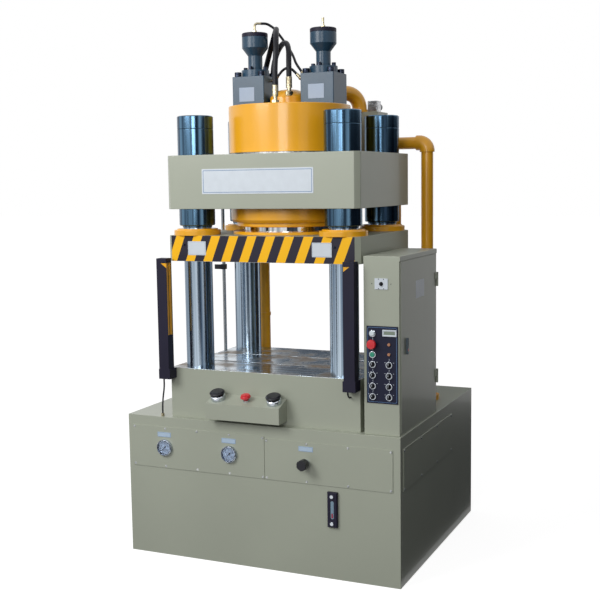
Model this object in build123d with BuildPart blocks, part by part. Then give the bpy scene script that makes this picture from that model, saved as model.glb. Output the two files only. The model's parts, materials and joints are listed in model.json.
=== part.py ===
from build123d import *
import os
from math import atan2, degrees, radians, tan

# Four-column hydraulic press, millimetres. Z is up, the operator stands at -Y.
# The origin lies on the floor, under the middle of the base cabinet.

# Press frame
plate_w, plate_d = 869, 633     # bed, slide and crown share one outline
bed_h, slide_h, crown_h = 214, 108, 224
daylight = 458                  # bed to slide with the slide up
opening_h = 677                 # bed to crown
corner_cut = 20
column_r = 60
column_inset_x, column_inset_y = 99, 85.5
slot_pitch = 202                # T-slots, across the plate
slot_w, slot_depth = 14, 14
tee_w, tee_h = 25, 11

# Base cabinet, with a rim around the plates
base_h = 612
left_rim, right_rim, front_rim, rear_rim = 203.5, 177.5, 31.5, 409.5
shelf_h = 232                   # room over the tank, up to the base's top
base_sheet = 8
base_top_plate = 16
cover_sheet = 3
cover_lap = 16
screw_inset = 8
screw_r, screw_h = 5.5, 2.5

# Fits, on the radius
seat_fit = 0.05
running_fit = 0.1
clearance = 0.3

# Column nuts, bushes and flanges
nut_r = 76
bed_nut_h, crown_nut_h, sleeve_nut_h, cap_h = 71, 71, 111, 54
nut_neck_r, nut_neck_h = 63, 8
bush_r, bush_lip = 75, 6
flange_r, flange_h = 99, 22
flange_step_r, flange_step_h = 88, 5

# Cylinder and ram
bore_r, head_h = 215, 40
barrel_wall = 30
cylinder_body_r = bore_r + barrel_wall
cylinder_r, cylinder_h = cylinder_body_r + 16.5, 205
cylinder_neck_r, cylinder_neck_h = cylinder_body_r + 11, 8
ram_r = bore_r - 14
piston_h, piston_drop = 70, 7
ring_nut_r, ring_nut_h = cylinder_body_r + 14, 61
gland_r, gland_h, gland_spigot = cylinder_body_r - 10, 18, 18
ram_flange_r, ram_flange_h = ram_r + 51, 12

# Valve gear on the cylinder
block_w, block_h = 150, 130
block_pitch = 320
bonnet_r, bonnet_neck_r, bonnet_cup_r = 60, 31, 56
block_bolt_pitch, bonnet_bolt_r = 112, 47
dome_r, dome_h = 83, 69
filling_pipe_r, return_pipe_r, rear_pipe_r = 33, 27, 25
hose_r, pilot_r, cable_r = 11.5, 5.5, 3.5

# Electric cabinet
cabinet_w, cabinet_d, cabinet_h = 147.5, 492, 708
cabinet_gap, cabinet_inset = 21.5, 18     # from the plates, and from the base's front
cabinet_sheet = 3
cabinet_roof = 20
panel_w, panel_h, panel_sheet = 130, 307, 3
hinge_r, hinge_pin_r, knuckle_h = 5, 2, 30
door_gap = 4

# Controls
palm_r, palm_travel = 32, 4
stop_r, stop_travel = 20, 5
start_travel = 3
knob_r = 9.7
gauge_r, gauge_bezel_r = 30, 36

# Two-hand box and light guards
desk_w, desk_d = 337, 79.5
desk_lift, desk_front_h, desk_back_h = 20, 67, 94
guard_w, guard_d, guard_wall = 48, 44, 3
guard_reach = 34.5                        # from the plates to the middle of a guard
guard_h, guard_cap = 472, 19

# Levels and edges that follow
base_w = left_rim + plate_w + right_rim
base_d = front_rim + plate_d + rear_rim
front_y, right_x = -base_d / 2, base_w / 2
plate_left, plate_right = -right_x + left_rim, right_x - right_rim
plate_front, plate_back = front_y + front_rim, -front_y - rear_rim
press_x, press_y = (plate_left + plate_right) / 2, (plate_front + plate_back) / 2
column_dx, column_dy = plate_w - 2 * column_inset_x, plate_d - 2 * column_inset_y
deck_h = base_h - shelf_h                 # top of the tank
bed_top = base_h + bed_h
slide_bottom = bed_top + daylight
slide_top = slide_bottom + slide_h
crown_bottom = bed_top + opening_h
crown_top = crown_bottom + crown_h
cylinder_top = crown_top + cylinder_h
block_top = cylinder_top + block_h
cover_front_y = front_y - cover_sheet
column_spots = [
    (press_x + side_x * column_dx / 2, press_y + side_y * column_dy / 2)
    for side_y in (-1, 1)
    for side_x in (-1, 1)
]

os.makedirs("parts", exist_ok=True)


def write(piece, name):
    piece.label = name
    export_step(piece, f"parts/{name}.step")


def level(height):
    """The horizontal plane at a height, centred on the press axis."""
    return Plane(origin=(press_x, press_y, height))


def upright(x, y, z=0):
    """Half-section plane of a piece turned about a vertical line: radius, then height."""
    return Plane(origin=(x, y, z), x_dir=(1, 0, 0), z_dir=(0, -1, 0))


def towards_operator(x, y, z):
    """Half-section plane of a piece turned about a line that runs forward: radius, then reach."""
    return Plane(origin=(x, y, z), x_dir=(1, 0, 0), z_dir=(0, 0, -1))


def turned(plane, *corners):
    """A turned piece from its half section, as corners of radius and height in the plane."""
    with BuildPart() as piece:
        with BuildSketch(plane):
            with BuildLine():
                Polyline(*corners, close=True)
            make_face()
        revolve(axis=Axis(plane.origin, plane.y_dir))
    return piece.part


def block(left, right, front, back, bottom, top):
    """A square-edged block between its six faces."""
    with BuildPart(Plane(origin=(left, front, bottom))) as piece:
        Box(right - left, back - front, top - bottom, align=(Align.MIN, Align.MIN, Align.MIN))
    return piece.part


def bar(start, end, radius):
    """A round bar from one point to another."""
    run = Vector(*end) - Vector(*start)
    with BuildPart() as piece:
        with BuildSketch(Plane(origin=start, z_dir=run)):
            Circle(radius)
        extrude(amount=run.length)
    return piece.part


def swept_tube(route, radius, bends):
    """A round tube along straight runs with an arc at each corner."""
    with BuildPart() as piece:
        with BuildLine() as path:
            FilletPolyline(*route, radius=bends)
        with BuildSketch(Plane(origin=path.line @ 0, z_dir=path.line % 0)):
            Circle(radius)
        sweep()
    return piece.part


def easy_bends(route):
    """The largest arc at each corner that leaves a little of both runs straight."""
    bends = []
    for before, corner, after in zip(route, route[1:], route[2:]):
        run_in = Vector(*corner) - Vector(*before)
        run_out = Vector(*after) - Vector(*corner)
        half_turn = radians(run_in.get_angle(run_out) / 2)
        bends.append(0.45 * min(run_in.length, run_out.length) / tan(half_turn))
    return bends


# Base cabinet: welded sheet, with a pump room, a tank and a shelf for wiring over it
front_face = Plane.XZ.offset(base_d / 2)
right_face = Plane.YZ.offset(base_w / 2)
rear_face = Plane(origin=(0, base_d / 2, 0), x_dir=(-1, 0, 0), z_dir=(0, 1, 0))
cover_low = deck_h + 8
cover_high = base_h - 52
cover_seam = 35                 # the front covers meet here
covers = [                      # face, left, right, bottom, top
    (front_face, -right_x + 23, cover_seam - 1, cover_low, cover_high + 9),
    (front_face, cover_seam + 1, right_x - 31, cover_low, cover_high),
    (right_face, front_y + 32, 180, cover_low, cover_high),
    (rear_face, 180, right_x - 25, 60, cover_high),
]
screw_counts = (5, 4, 4, 3)     # screws in a row, on each cover
room_left, room_right = -base_w / 2 + base_sheet, base_w / 2 - base_sheet
room_front, room_back = -base_d / 2 + base_sheet, base_d / 2 - base_sheet
room_top = base_h - base_top_plate
return_x, return_y = plate_right + 52.5, plate_back + 94.5
left_pipe_x, rear_pipe_y = press_x - 323, plate_back + 72.5
right_pipe_x = press_x + 345
tank_wall_x = left_pipe_x + 160 # the pump room is left of it
shaft_z = 198                   # the pump's shaft, over the floor
suction_y, suction_r, strainer_r = rear_pipe_y + 20, 30, 42
nut_room = 9                    # around the nuts under the bed

with BuildPart() as base_cabinet:
    with BuildSketch(Plane.XY):
        Rectangle(base_w, base_d)
    extrude(amount=base_h)
    add(block(room_left, tank_wall_x, room_front, room_back, base_sheet, room_top), mode=Mode.SUBTRACT)
    add(block(room_left, room_right, room_front, room_back, deck_h, room_top), mode=Mode.SUBTRACT)
    add(
        block(tank_wall_x + base_sheet, room_right, room_front, room_back, base_sheet, deck_h - base_sheet),
        mode=Mode.SUBTRACT,
    )
    for face, left, right, bottom, top in covers:
        with BuildSketch(face):
            with Locations(((left + right) / 2, (bottom + top) / 2)):
                Rectangle(right - left - 2 * cover_lap, top - bottom - 2 * cover_lap)
        extrude(amount=-base_sheet, mode=Mode.SUBTRACT)
    with BuildSketch(Plane.YZ.offset(tank_wall_x)):
        with Locations((suction_y, shaft_z)):
            Circle(suction_r + seat_fit)
    extrude(amount=base_sheet, mode=Mode.SUBTRACT)
    with BuildSketch(level(room_top)):
        with GridLocations(column_dx, column_dy, 2, 2):
            Circle(nut_r + nut_room)
    extrude(amount=base_top_plate, mode=Mode.SUBTRACT)
    with BuildSketch(Plane.XY.offset(room_top)):
        with Locations((return_x, return_y)):
            Circle(return_pipe_r + seat_fit)
        with Locations((left_pipe_x, rear_pipe_y), (right_pipe_x, rear_pipe_y)):
            Circle(rear_pipe_r + seat_fit)
    extrude(amount=base_top_plate, mode=Mode.SUBTRACT)
    with BuildSketch(Plane.XY.offset(deck_h - base_sheet)):
        with Locations((return_x, return_y)):
            Circle(return_pipe_r + seat_fit)
        with Locations((right_pipe_x, rear_pipe_y)):
            Circle(rear_pipe_r + seat_fit)
    extrude(amount=base_sheet, mode=Mode.SUBTRACT)
write(base_cabinet.part, "base_cabinet")

# Cover plates and their screws
gauge_inset, gauge_pitch, gauge_drop = 184, 313, 133
gauge_xs = (-right_x + gauge_inset, -right_x + gauge_inset + gauge_pitch)
gauge_z = base_h - gauge_drop
pressure_inset, pressure_drop = 400, 136
pressure_x, pressure_z = right_x - pressure_inset, base_h - pressure_drop
pressure_stem_r = 8

with BuildPart() as cover_plates:
    for face, left, right, bottom, top in covers:
        with BuildSketch(face):
            with Locations(((left + right) / 2, (bottom + top) / 2)):
                Rectangle(right - left, top - bottom)
        extrude(amount=cover_sheet)
    with BuildSketch(front_face):
        with Locations(*[(x, gauge_z) for x in gauge_xs]):
            Circle(gauge_r + seat_fit)
        with Locations((pressure_x, pressure_z)):
            Circle(pressure_stem_r + seat_fit)
    extrude(amount=cover_sheet, mode=Mode.SUBTRACT)
write(cover_plates.part, "cover_plates")

with BuildPart() as cover_screws:
    for (face, left, right, bottom, top), across in zip(covers, screw_counts):
        pitch_x = (right - left - 2 * screw_inset) / (across - 1)
        pitch_z = top - bottom - 2 * screw_inset
        with BuildSketch(face.offset(cover_sheet)):
            with Locations(((left + right) / 2, (bottom + top) / 2)):
                with GridLocations(pitch_x, pitch_z, across, 2):
                    Circle(screw_r)
        extrude(amount=screw_h, taper=20)
write(cover_screws.part, "cover_screws")

# Pressure gauges: a cup with a bezel, its dial recessed, and a glass; the pointer turns on a stud
gauge_face_y = cover_front_y
bezel_h, dial_h, glass_h = 14, 4, 2
stud_r, stud_h = 1.5, 9
gauge_glass_r = 32
gauge_case_depth = 26
pointer_seat, pointer_sheet = 6, 1
pointer_long, pointer_short = 23, 8

with BuildPart() as gauges:
    for x in gauge_xs:
        centre = towards_operator(x, gauge_face_y, gauge_z)
        add(turned(
            centre,
            (0, -gauge_case_depth), (gauge_r, -gauge_case_depth), (gauge_r, 0), (gauge_bezel_r, 0),
            (gauge_bezel_r, bezel_h - 3), (gauge_bezel_r - 2, bezel_h), (gauge_glass_r, bezel_h),
            (gauge_glass_r, bezel_h - glass_h - 1), (gauge_r, bezel_h - glass_h - 1), (gauge_r, dial_h),
            (stud_r, dial_h), (stud_r, stud_h), (0, stud_h),
        ))
with BuildPart() as gauge_glasses:
    with BuildSketch(front_face.offset(cover_sheet + bezel_h - glass_h - 1)):
        with Locations(*[(x, gauge_z) for x in gauge_xs]):
            Circle(gauge_glass_r)
    extrude(amount=glass_h)
write(Compound(children=[gauges.part, gauge_glasses.part]), "gauges")

for side, x in zip(("left", "right"), gauge_xs):
    pointer_y = gauge_face_y - pointer_seat
    with BuildPart() as gauge_pointer:
        with BuildSketch(Plane(origin=(x, pointer_y, gauge_z), x_dir=(-1, 0, -1), z_dir=(0, -1, 0))):
            with BuildLine():
                Polyline(
                    (-pointer_short, -2), (0, -1.5), (pointer_long, 0),
                    (0, 1.5), (-pointer_short, 2), close=True,
                )
            make_face()
            Circle(3)
            Circle(stud_r + running_fit, mode=Mode.SUBTRACT)
        extrude(amount=pointer_sheet)
    write(gauge_pointer.part, f"{side}_gauge_pointer")

# Oil level gauge on the front of the tank
level_x, level_z = right_x - 286, deck_h - 86.5
level_w, level_h, level_d = 43, 146, 14
level_bolt_pitch, level_bolt_r = 112, 8
level_slot_w, level_slot_h = 15, 76

with BuildPart() as level_gauge:
    with BuildSketch(front_face):
        with Locations((level_x, level_z)):
            Rectangle(level_w, level_h)
    extrude(amount=level_d)
    chamfer(level_gauge.faces().sort_by(Axis.Y)[0].edges(), 3)
    with BuildSketch(front_face.offset(level_d - 6)):
        with Locations((level_x, level_z)):
            SlotOverall(level_slot_h, level_slot_w, rotation=90)
    extrude(amount=6, mode=Mode.SUBTRACT)
    with BuildSketch(front_face.offset(level_d)):
        with Locations((level_x, level_z)):
            with GridLocations(1, level_bolt_pitch, 1, 2):
                RegularPolygon(level_bolt_r, 6)
    extrude(amount=6)
with BuildPart() as level_glass:
    with BuildSketch(front_face.offset(level_d - 6)):
        with Locations((level_x, level_z)):
            SlotOverall(level_slot_h, level_slot_w, rotation=90)
    extrude(amount=4)
write(Compound(children=[level_gauge.part, level_glass.part]), "level_gauge")

# Pump set in the left of the base, all on one shaft line that runs to the back
shaft_x = left_pipe_x
motor_h, motor_r = 400, 135
motor_end_h = 40
stator_r, air_gap = 90, 0.5
motor_shaft_r, pump_shaft_r = 19, 15
bell_h, bell_r, bell_bore_r = 80, 110, 62
pump_h, pump_r, pump_flange_h = 140, 80, 15
foot_w, foot_h = 220, 90
terminal_w, terminal_start = 110, 120
pump_front = rear_pipe_y - 50
motor_back = pump_front - bell_h
motor_front = motor_back - motor_h
coupling_r, coupling_h = 45, 52
coupling_front = motor_back + 14
outlet_top = 300


def shaft_line(y):
    """Half-section plane about the pump's shaft: radius, then distance back."""
    return Plane(origin=(shaft_x, y, shaft_z), x_dir=(1, 0, 0), z_dir=(0, 0, 1))


motor_body = turned(
    shaft_line(motor_front),
    (motor_shaft_r + running_fit, 0), (motor_r - 10, 0), (motor_r, 10), (motor_r, motor_h - 10),
    (motor_r - 10, motor_h), (motor_shaft_r + running_fit, motor_h),
    (motor_shaft_r + running_fit, motor_h - motor_end_h), (stator_r, motor_h - motor_end_h),
    (stator_r, motor_end_h), (motor_shaft_r + running_fit, motor_end_h),
)
with BuildPart() as motor_frame:
    add(block(
        shaft_x - foot_w / 2, shaft_x + foot_w / 2, motor_front + 30, motor_back - 30,
        base_sheet, base_sheet + foot_h,
    ))
    add(block(
        shaft_x - terminal_w / 2, shaft_x + terminal_w / 2,
        motor_front + terminal_start, motor_front + terminal_start + terminal_w,
        shaft_z + motor_r - 15, shaft_z + motor_r + 50,
    ))
    with BuildSketch(Plane.XZ.offset(-motor_front)):
        with Locations((shaft_x, shaft_z)):
            Circle(motor_r - 1)
    extrude(amount=-motor_h, mode=Mode.SUBTRACT)
    add(motor_body)
write(motor_frame.part, "motor_frame")

with BuildPart() as pump_unit:
    add(turned(
        shaft_line(motor_back),
        (bell_bore_r, 0), (bell_r, 0), (bell_r, bell_h), (bell_bore_r, bell_h),
    ))
with BuildPart() as pump_body:
    add(turned(
        shaft_line(pump_front),
        (pump_shaft_r + running_fit, 0), (bell_r, 0), (bell_r, pump_flange_h), (pump_r, pump_flange_h),
        (pump_r, pump_h - 12), (pump_r - 12, pump_h), (0, pump_h), (0, pump_h - 40),
        (pump_shaft_r + running_fit, pump_h - 40),
    ))
    add(block(
        shaft_x - 40, shaft_x + 40, rear_pipe_y - 35, rear_pipe_y + 35,
        shaft_z + pump_r - 20, outlet_top,
    ))
with BuildPart() as suction_line:
    add(bar((shaft_x + pump_r + 6, suction_y, shaft_z), (tank_wall_x + 70, suction_y, shaft_z), suction_r))
    add(bar((tank_wall_x + 60, suction_y, shaft_z), (tank_wall_x + 150, suction_y, shaft_z), strainer_r))
    add(bar((shaft_x + pump_r - 10, suction_y, shaft_z), (shaft_x + pump_r + 8, suction_y, shaft_z), 38))
    add(bar((shaft_x, suction_y - 200, shaft_z), (shaft_x, suction_y + 200, shaft_z), pump_r),
        mode=Mode.SUBTRACT)
write(Compound(children=[pump_unit.part, pump_body.part, suction_line.part]), "pump_unit")

rotor_h = motor_h - 2 * motor_end_h - 60
with BuildPart() as rotor:
    rotor_start = motor_end_h + 30
    add(turned(
        shaft_line(motor_front),
        (0, 5), (motor_shaft_r, 5), (motor_shaft_r, rotor_start), (stator_r - air_gap, rotor_start),
        (stator_r - air_gap, rotor_start + rotor_h), (motor_shaft_r, rotor_start + rotor_h),
        (motor_shaft_r, motor_h + 40), (0, motor_h + 40),
    ))
with BuildPart() as coupling:
    add(turned(
        shaft_line(coupling_front),
        (motor_shaft_r, 0), (coupling_r, 0), (coupling_r, coupling_h), (pump_shaft_r, coupling_h),
        (pump_shaft_r, 26), (motor_shaft_r, 26),
    ))
with BuildPart() as pump_shaft:
    add(turned(
        shaft_line(coupling_front),
        (0, 26), (pump_shaft_r, 26), (pump_shaft_r, 130), (0, 130),
    ))
write(Compound(children=[rotor.part, coupling.part, pump_shaft.part]), "drive_shaft")


# Press frame: bed, slide and crown share the column pattern
def t_slots(face_height, into):
    """The two T-slots across a plate, cut into it from a face: up is 1 and down is -1."""
    with BuildPart() as slots:
        with BuildSketch(Plane.YZ.offset(plate_left)):
            for side in (-1, 1):
                slot_y = press_y + side * slot_pitch / 2
                with Locations((slot_y, face_height + into * (slot_depth + tee_h) / 2)):
                    Rectangle(slot_w, slot_depth + tee_h)
                with Locations((slot_y, face_height + into * (slot_depth + tee_h / 2))):
                    Rectangle(tee_w, tee_h)
        extrude(amount=plate_w)
    return slots.part


with BuildPart() as bed:
    with BuildSketch(level(base_h)):
        Rectangle(plate_w, plate_d)
        with GridLocations(column_dx, column_dy, 2, 2):
            Circle(column_r + seat_fit, mode=Mode.SUBTRACT)
    extrude(amount=bed_h)
    add(t_slots(bed_top, -1), mode=Mode.SUBTRACT)
write(bed.part, "bed")

with BuildPart() as crown:
    with BuildSketch(level(crown_bottom)):
        Rectangle(plate_w, plate_d)
        chamfer(vertices(), corner_cut)
        with GridLocations(column_dx, column_dy, 2, 2):
            Circle(column_r + seat_fit, mode=Mode.SUBTRACT)
        Circle(cylinder_body_r + seat_fit, mode=Mode.SUBTRACT)
    extrude(amount=crown_h)
write(crown.part, "crown")

with BuildPart() as slide:
    with BuildSketch(level(slide_bottom)):
        Rectangle(plate_w, plate_d)
        chamfer(vertices(), corner_cut)
        with GridLocations(column_dx, column_dy, 2, 2):
            Circle(column_r + bush_lip, mode=Mode.SUBTRACT)
    extrude(amount=slide_h)
    with BuildSketch(level(slide_bottom + bush_lip)):
        with GridLocations(column_dx, column_dy, 2, 2):
            Circle(bush_r + seat_fit)
    extrude(amount=slide_h - bush_lip, mode=Mode.SUBTRACT)
    add(t_slots(slide_bottom, 1), mode=Mode.SUBTRACT)
write(slide.part, "slide")

with BuildPart() as guide_bushes:
    with BuildSketch(level(slide_bottom + bush_lip)):
        with GridLocations(column_dx, column_dy, 2, 2):
            Circle(bush_r)
            Circle(column_r + running_fit, mode=Mode.SUBTRACT)
    extrude(amount=slide_h - bush_lip)
write(guide_bushes.part, "guide_bushes")

# Guide flanges hold the bushes down; their screw heads lie in counterbores
flange_screw_pcr, flange_screw_r, flange_screw_h = 75, 8, 9
flange_top = flange_h + flange_step_h
with BuildPart() as guide_flanges:
    for x, y in column_spots:
        add(turned(
            upright(x, y, slide_top),
            (column_r + clearance, 0), (flange_r, 0), (flange_r, flange_h - 2),
            (flange_r - 2, flange_h), (flange_step_r, flange_h), (flange_step_r - 2, flange_top),
            (column_r + clearance, flange_top),
        ))
    for x, y in column_spots:
        with BuildSketch(Plane(origin=(x, y, slide_top + flange_top))):
            with PolarLocations(flange_screw_pcr, 4, start_angle=45):
                Circle(flange_screw_r + seat_fit)
        extrude(amount=-flange_screw_h, mode=Mode.SUBTRACT)
write(guide_flanges.part, "guide_flanges")

# Ram, its clamping flange and the slide's screws
ram_h = cylinder_top - head_h - piston_drop - slide_top
with BuildPart() as ram:
    add(turned(
        upright(press_x, press_y, slide_top),
        (0, 0), (ram_r, 0), (ram_r, ram_h - piston_h), (bore_r - clearance, ram_h - piston_h),
        (bore_r - clearance, ram_h - 4), (bore_r - clearance - 4, ram_h), (0, ram_h),
    ))
write(ram.part, "ram")

ram_screw_pcr = (ram_r + ram_flange_r) / 2
with BuildPart() as ram_flange:
    with BuildSketch(level(slide_top)):
        Circle(ram_flange_r)
        Circle(ram_r + seat_fit, mode=Mode.SUBTRACT)
    extrude(amount=ram_flange_h)
    with BuildSketch(level(slide_top + ram_flange_h)):
        with PolarLocations(ram_screw_pcr, 8, start_angle=22.5):
            Circle(flange_screw_r + seat_fit)
    extrude(amount=-flange_screw_h, mode=Mode.SUBTRACT)
write(ram_flange.part, "ram_flange")

nipple_r, nipple_h = 6, 7
nipple_spots = ((plate_left + 81.5, slide_bottom + 70), (plate_right - 104.5, slide_bottom + 66))
with BuildPart() as slide_screws:
    for x, y in column_spots:
        with BuildSketch(Plane(origin=(x, y, slide_top + flange_top - flange_screw_h))):
            with PolarLocations(flange_screw_pcr, 4, start_angle=45):
                Circle(flange_screw_r)
        extrude(amount=flange_screw_h - 0.5)
    with BuildSketch(level(slide_top + ram_flange_h - flange_screw_h)):
        with PolarLocations(ram_screw_pcr, 8, start_angle=22.5):
            Circle(flange_screw_r)
    extrude(amount=flange_screw_h - 0.5)
    with BuildSketch(Plane.XZ.offset(-plate_front)):
        with Locations(*nipple_spots):
            RegularPolygon(nipple_r, 6)
    extrude(amount=nipple_h)
write(slide_screws.part, "slide_screws")

# Columns and their nuts
thread_end_low, thread_end_high = 21, 12
column_bottom = base_h - bed_nut_h - thread_end_low
column_top = crown_top + sleeve_nut_h + thread_end_high
with BuildPart() as columns:
    with BuildSketch(level(column_bottom)):
        with GridLocations(column_dx, column_dy, 2, 2):
            Circle(column_r)
    extrude(amount=column_top - column_bottom)
    chamfer(columns.edges().filter_by(GeomType.CIRCLE), 3)
write(columns.part, "columns")

nut_bore = column_r + seat_fit
cap_floor = 14
with BuildPart() as column_nuts:
    for x, y in column_spots:
        add(turned(
            upright(x, y, base_h - bed_nut_h),
            (nut_bore, 0), (nut_r - 3, 0), (nut_r, 3), (nut_r, bed_nut_h), (nut_bore, bed_nut_h),
        ))
        add(turned(
            upright(x, y, crown_bottom - crown_nut_h),
            (nut_bore, -nut_neck_h), (nut_neck_r, -nut_neck_h), (nut_neck_r, 0), (nut_r - 3, 0),
            (nut_r, 3), (nut_r, crown_nut_h), (nut_bore, crown_nut_h),
        ))
        add(turned(
            upright(x, y, crown_top),
            (nut_bore, 0), (nut_r, 0), (nut_r, sleeve_nut_h - 2), (nut_r - 2, sleeve_nut_h),
            (nut_bore, sleeve_nut_h),
        ))
with BuildPart() as nut_caps:
    for x, y in column_spots:
        add(turned(
            upright(x, y, crown_top + sleeve_nut_h),
            (column_r + 2, 0), (nut_r, 0), (nut_r, cap_h - 4), (nut_r - 4, cap_h), (0, cap_h),
            (0, cap_h - cap_floor), (column_r + 2, cap_h - cap_floor),
        ))
write(Compound(children=[column_nuts.part, nut_caps.part]), "column_nuts")

# Main cylinder: a barrel with a closed head, hung in the crown and held by a ring nut
barrel_bottom = crown_bottom - ring_nut_h
with BuildPart() as cylinder:
    add(turned(
        upright(press_x, press_y),
        (0, cylinder_top), (cylinder_r - 2, cylinder_top), (cylinder_r, cylinder_top - 2),
        (cylinder_r, crown_top + cylinder_neck_h), (cylinder_neck_r, crown_top + cylinder_neck_h),
        (cylinder_neck_r, crown_top), (cylinder_body_r, crown_top), (cylinder_body_r, barrel_bottom),
        (bore_r, barrel_bottom), (bore_r, cylinder_top - head_h), (0, cylinder_top - head_h),
    ))
write(cylinder.part, "cylinder")

with BuildPart() as cylinder_nut:
    add(turned(
        upright(press_x, press_y, barrel_bottom),
        (cylinder_body_r + seat_fit, 0), (ring_nut_r - 12, 0), (ring_nut_r, 12),
        (ring_nut_r, ring_nut_h), (cylinder_body_r + seat_fit, ring_nut_h),
    ))
write(cylinder_nut.part, "cylinder_nut")

with BuildPart() as gland_ring:
    add(turned(
        upright(press_x, press_y, barrel_bottom - gland_h),
        (ram_r + clearance, 0), (gland_r - 3, 0), (gland_r, 3), (gland_r, gland_h),
        (bore_r - seat_fit, gland_h), (bore_r - seat_fit, gland_h + gland_spigot),
        (ram_r + clearance, gland_h + gland_spigot),
    ))
write(gland_ring.part, "gland_ring")

# Filling valve: a domed housing on the head, with a flat spot for one hose
dome_hose_x, dome_hose_y = press_x + 27, press_y - 61
dome_seat = cylinder_top + 40
with BuildPart() as filling_valve:
    with BuildSketch(upright(press_x, press_y, cylinder_top)):
        with BuildLine():
            Polyline((0, dome_h), (0, 0), (dome_r, 0), (dome_r, dome_h - 33))
            ThreePointArc((dome_r, dome_h - 33), (dome_r - 22, dome_h - 11), (0, dome_h))
        make_face()
    revolve(axis=Axis((press_x, press_y, 0), (0, 0, 1)))
    with BuildSketch(Plane(origin=(dome_hose_x, dome_hose_y, dome_seat))):
        Circle(17)
    extrude(amount=dome_h, mode=Mode.SUBTRACT)
write(filling_valve.part, "filling_valve")

# Two valve blocks on the head, each under a turned bonnet
block_xs = (press_x - block_pitch / 2, press_x + block_pitch / 2)
bonnet_flange_h, bonnet_neck_h, bonnet_cone_h, bonnet_cup_h = 30, 61, 33, 64
bonnet_groove_h = 169
bonnet_h = bonnet_flange_h + bonnet_neck_h + bonnet_cone_h + bonnet_cup_h
bonnet_top = block_top + bonnet_h
cone_bottom = bonnet_flange_h + bonnet_neck_h
block_bolt_r, block_bolt_h = 15, 20
bonnet_bolt_head_r, bonnet_bolt_h = 9, 14

with BuildPart() as valve_blocks:
    with BuildSketch(Plane.XY.offset(cylinder_top)):
        with Locations(*[(x, press_y) for x in block_xs]):
            Rectangle(block_w, block_w)
    extrude(amount=block_h)
    chamfer(valve_blocks.edges().filter_by(Axis.Z), 2)
write(valve_blocks.part, "valve_blocks")

with BuildPart() as valve_bonnets:
    for x in block_xs:
        add(turned(
            upright(x, press_y, block_top),
            (0, 0), (bonnet_r, 0), (bonnet_r, bonnet_flange_h), (bonnet_neck_r, bonnet_flange_h),
            (bonnet_neck_r, cone_bottom), (bonnet_cup_r, cone_bottom + bonnet_cone_h),
            (bonnet_cup_r, bonnet_groove_h), (bonnet_cup_r - 1.5, bonnet_groove_h),
            (bonnet_cup_r - 1.5, bonnet_groove_h + 2), (bonnet_cup_r, bonnet_groove_h + 2),
            (bonnet_cup_r, bonnet_h - 3), (bonnet_cup_r - 3, bonnet_h), (0, bonnet_h),
        ))
write(valve_bonnets.part, "valve_bonnets")

with BuildPart() as valve_bolts:
    for x in block_xs:
        with BuildSketch(Plane(origin=(x, press_y, block_top))):
            with GridLocations(block_bolt_pitch, block_bolt_pitch, 2, 2):
                Circle(block_bolt_r)
        extrude(amount=block_bolt_h)
        with BuildSketch(Plane(origin=(x, press_y, block_top + bonnet_flange_h))):
            with PolarLocations(bonnet_bolt_r, 4, start_angle=0):
                Circle(bonnet_bolt_head_r)
        extrude(amount=bonnet_bolt_h)
write(valve_bolts.part, "valve_bolts")

# Manifold behind the crown, with a solenoid valve on top
manifold_left, manifold_right = press_x + 117, press_x + 287
manifold_back = plate_back + 142
manifold_bottom, manifold_top = crown_bottom + 57, cylinder_top - 14
with BuildPart() as rear_manifold:
    add(block(
        manifold_left, manifold_right, plate_back, manifold_back, manifold_bottom, manifold_top,
    ))
    chamfer(rear_manifold.edges().filter_by(Axis.Z).sort_by(Axis.Y)[-2:], 6)
write(rear_manifold.part, "rear_manifold")

solenoid_x, solenoid_y = manifold_right - 34, plate_back + 50.5
solenoid_w, solenoid_d, solenoid_h = 46, 54, 49
solenoid_port_r = 9
with BuildPart() as solenoid_valve:
    with BuildSketch(Plane.XY.offset(manifold_top)):
        with Locations((solenoid_x, solenoid_y)):
            Rectangle(solenoid_w, solenoid_d)
    extrude(amount=solenoid_h)
    chamfer(solenoid_valve.edges().filter_by(Axis.Z), 3)
    with BuildSketch(Plane.XZ.offset(-(solenoid_y - solenoid_d / 2))):
        with Locations((solenoid_x + 8, manifold_top + 15), (solenoid_x - 8, manifold_top + 36)):
            Circle(solenoid_port_r)
            Circle(solenoid_port_r - 3, mode=Mode.SUBTRACT)
    extrude(amount=3)
    add(bar(
        (solenoid_x, solenoid_y + solenoid_d / 2, manifold_top + 25),
        (solenoid_x, solenoid_y + solenoid_d / 2 + 40, manifold_top + 25), 16,
    ))
write(solenoid_valve.part, "solenoid_valve")

# Filling pipe from the head, over the back of the crown and down into the manifold
filling_start = (press_x + 47, press_y + 159)
filling_end = (manifold_left + 75, plate_back + 22.5)
filling_z, filling_bend = cylinder_top + 69, 66
filling_collar_r, filling_collar_h = 42, 12
with BuildPart() as filling_pipe:
    add(swept_tube(
        [
            (*filling_start, cylinder_top), (*filling_start, filling_z),
            (*filling_end, filling_z), (*filling_end, manifold_top),
        ],
        filling_pipe_r, filling_bend,
    ))
    with BuildSketch(Plane.XY.offset(cylinder_top)):
        with Locations(filling_start):
            Circle(filling_collar_r)
    extrude(amount=filling_collar_h)
    with BuildSketch(Plane.XY.offset(manifold_top)):
        with Locations(filling_end):
            Circle(filling_pipe_r + 4)
    extrude(amount=filling_collar_h)
write(filling_pipe.part, "filling_pipe")

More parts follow.
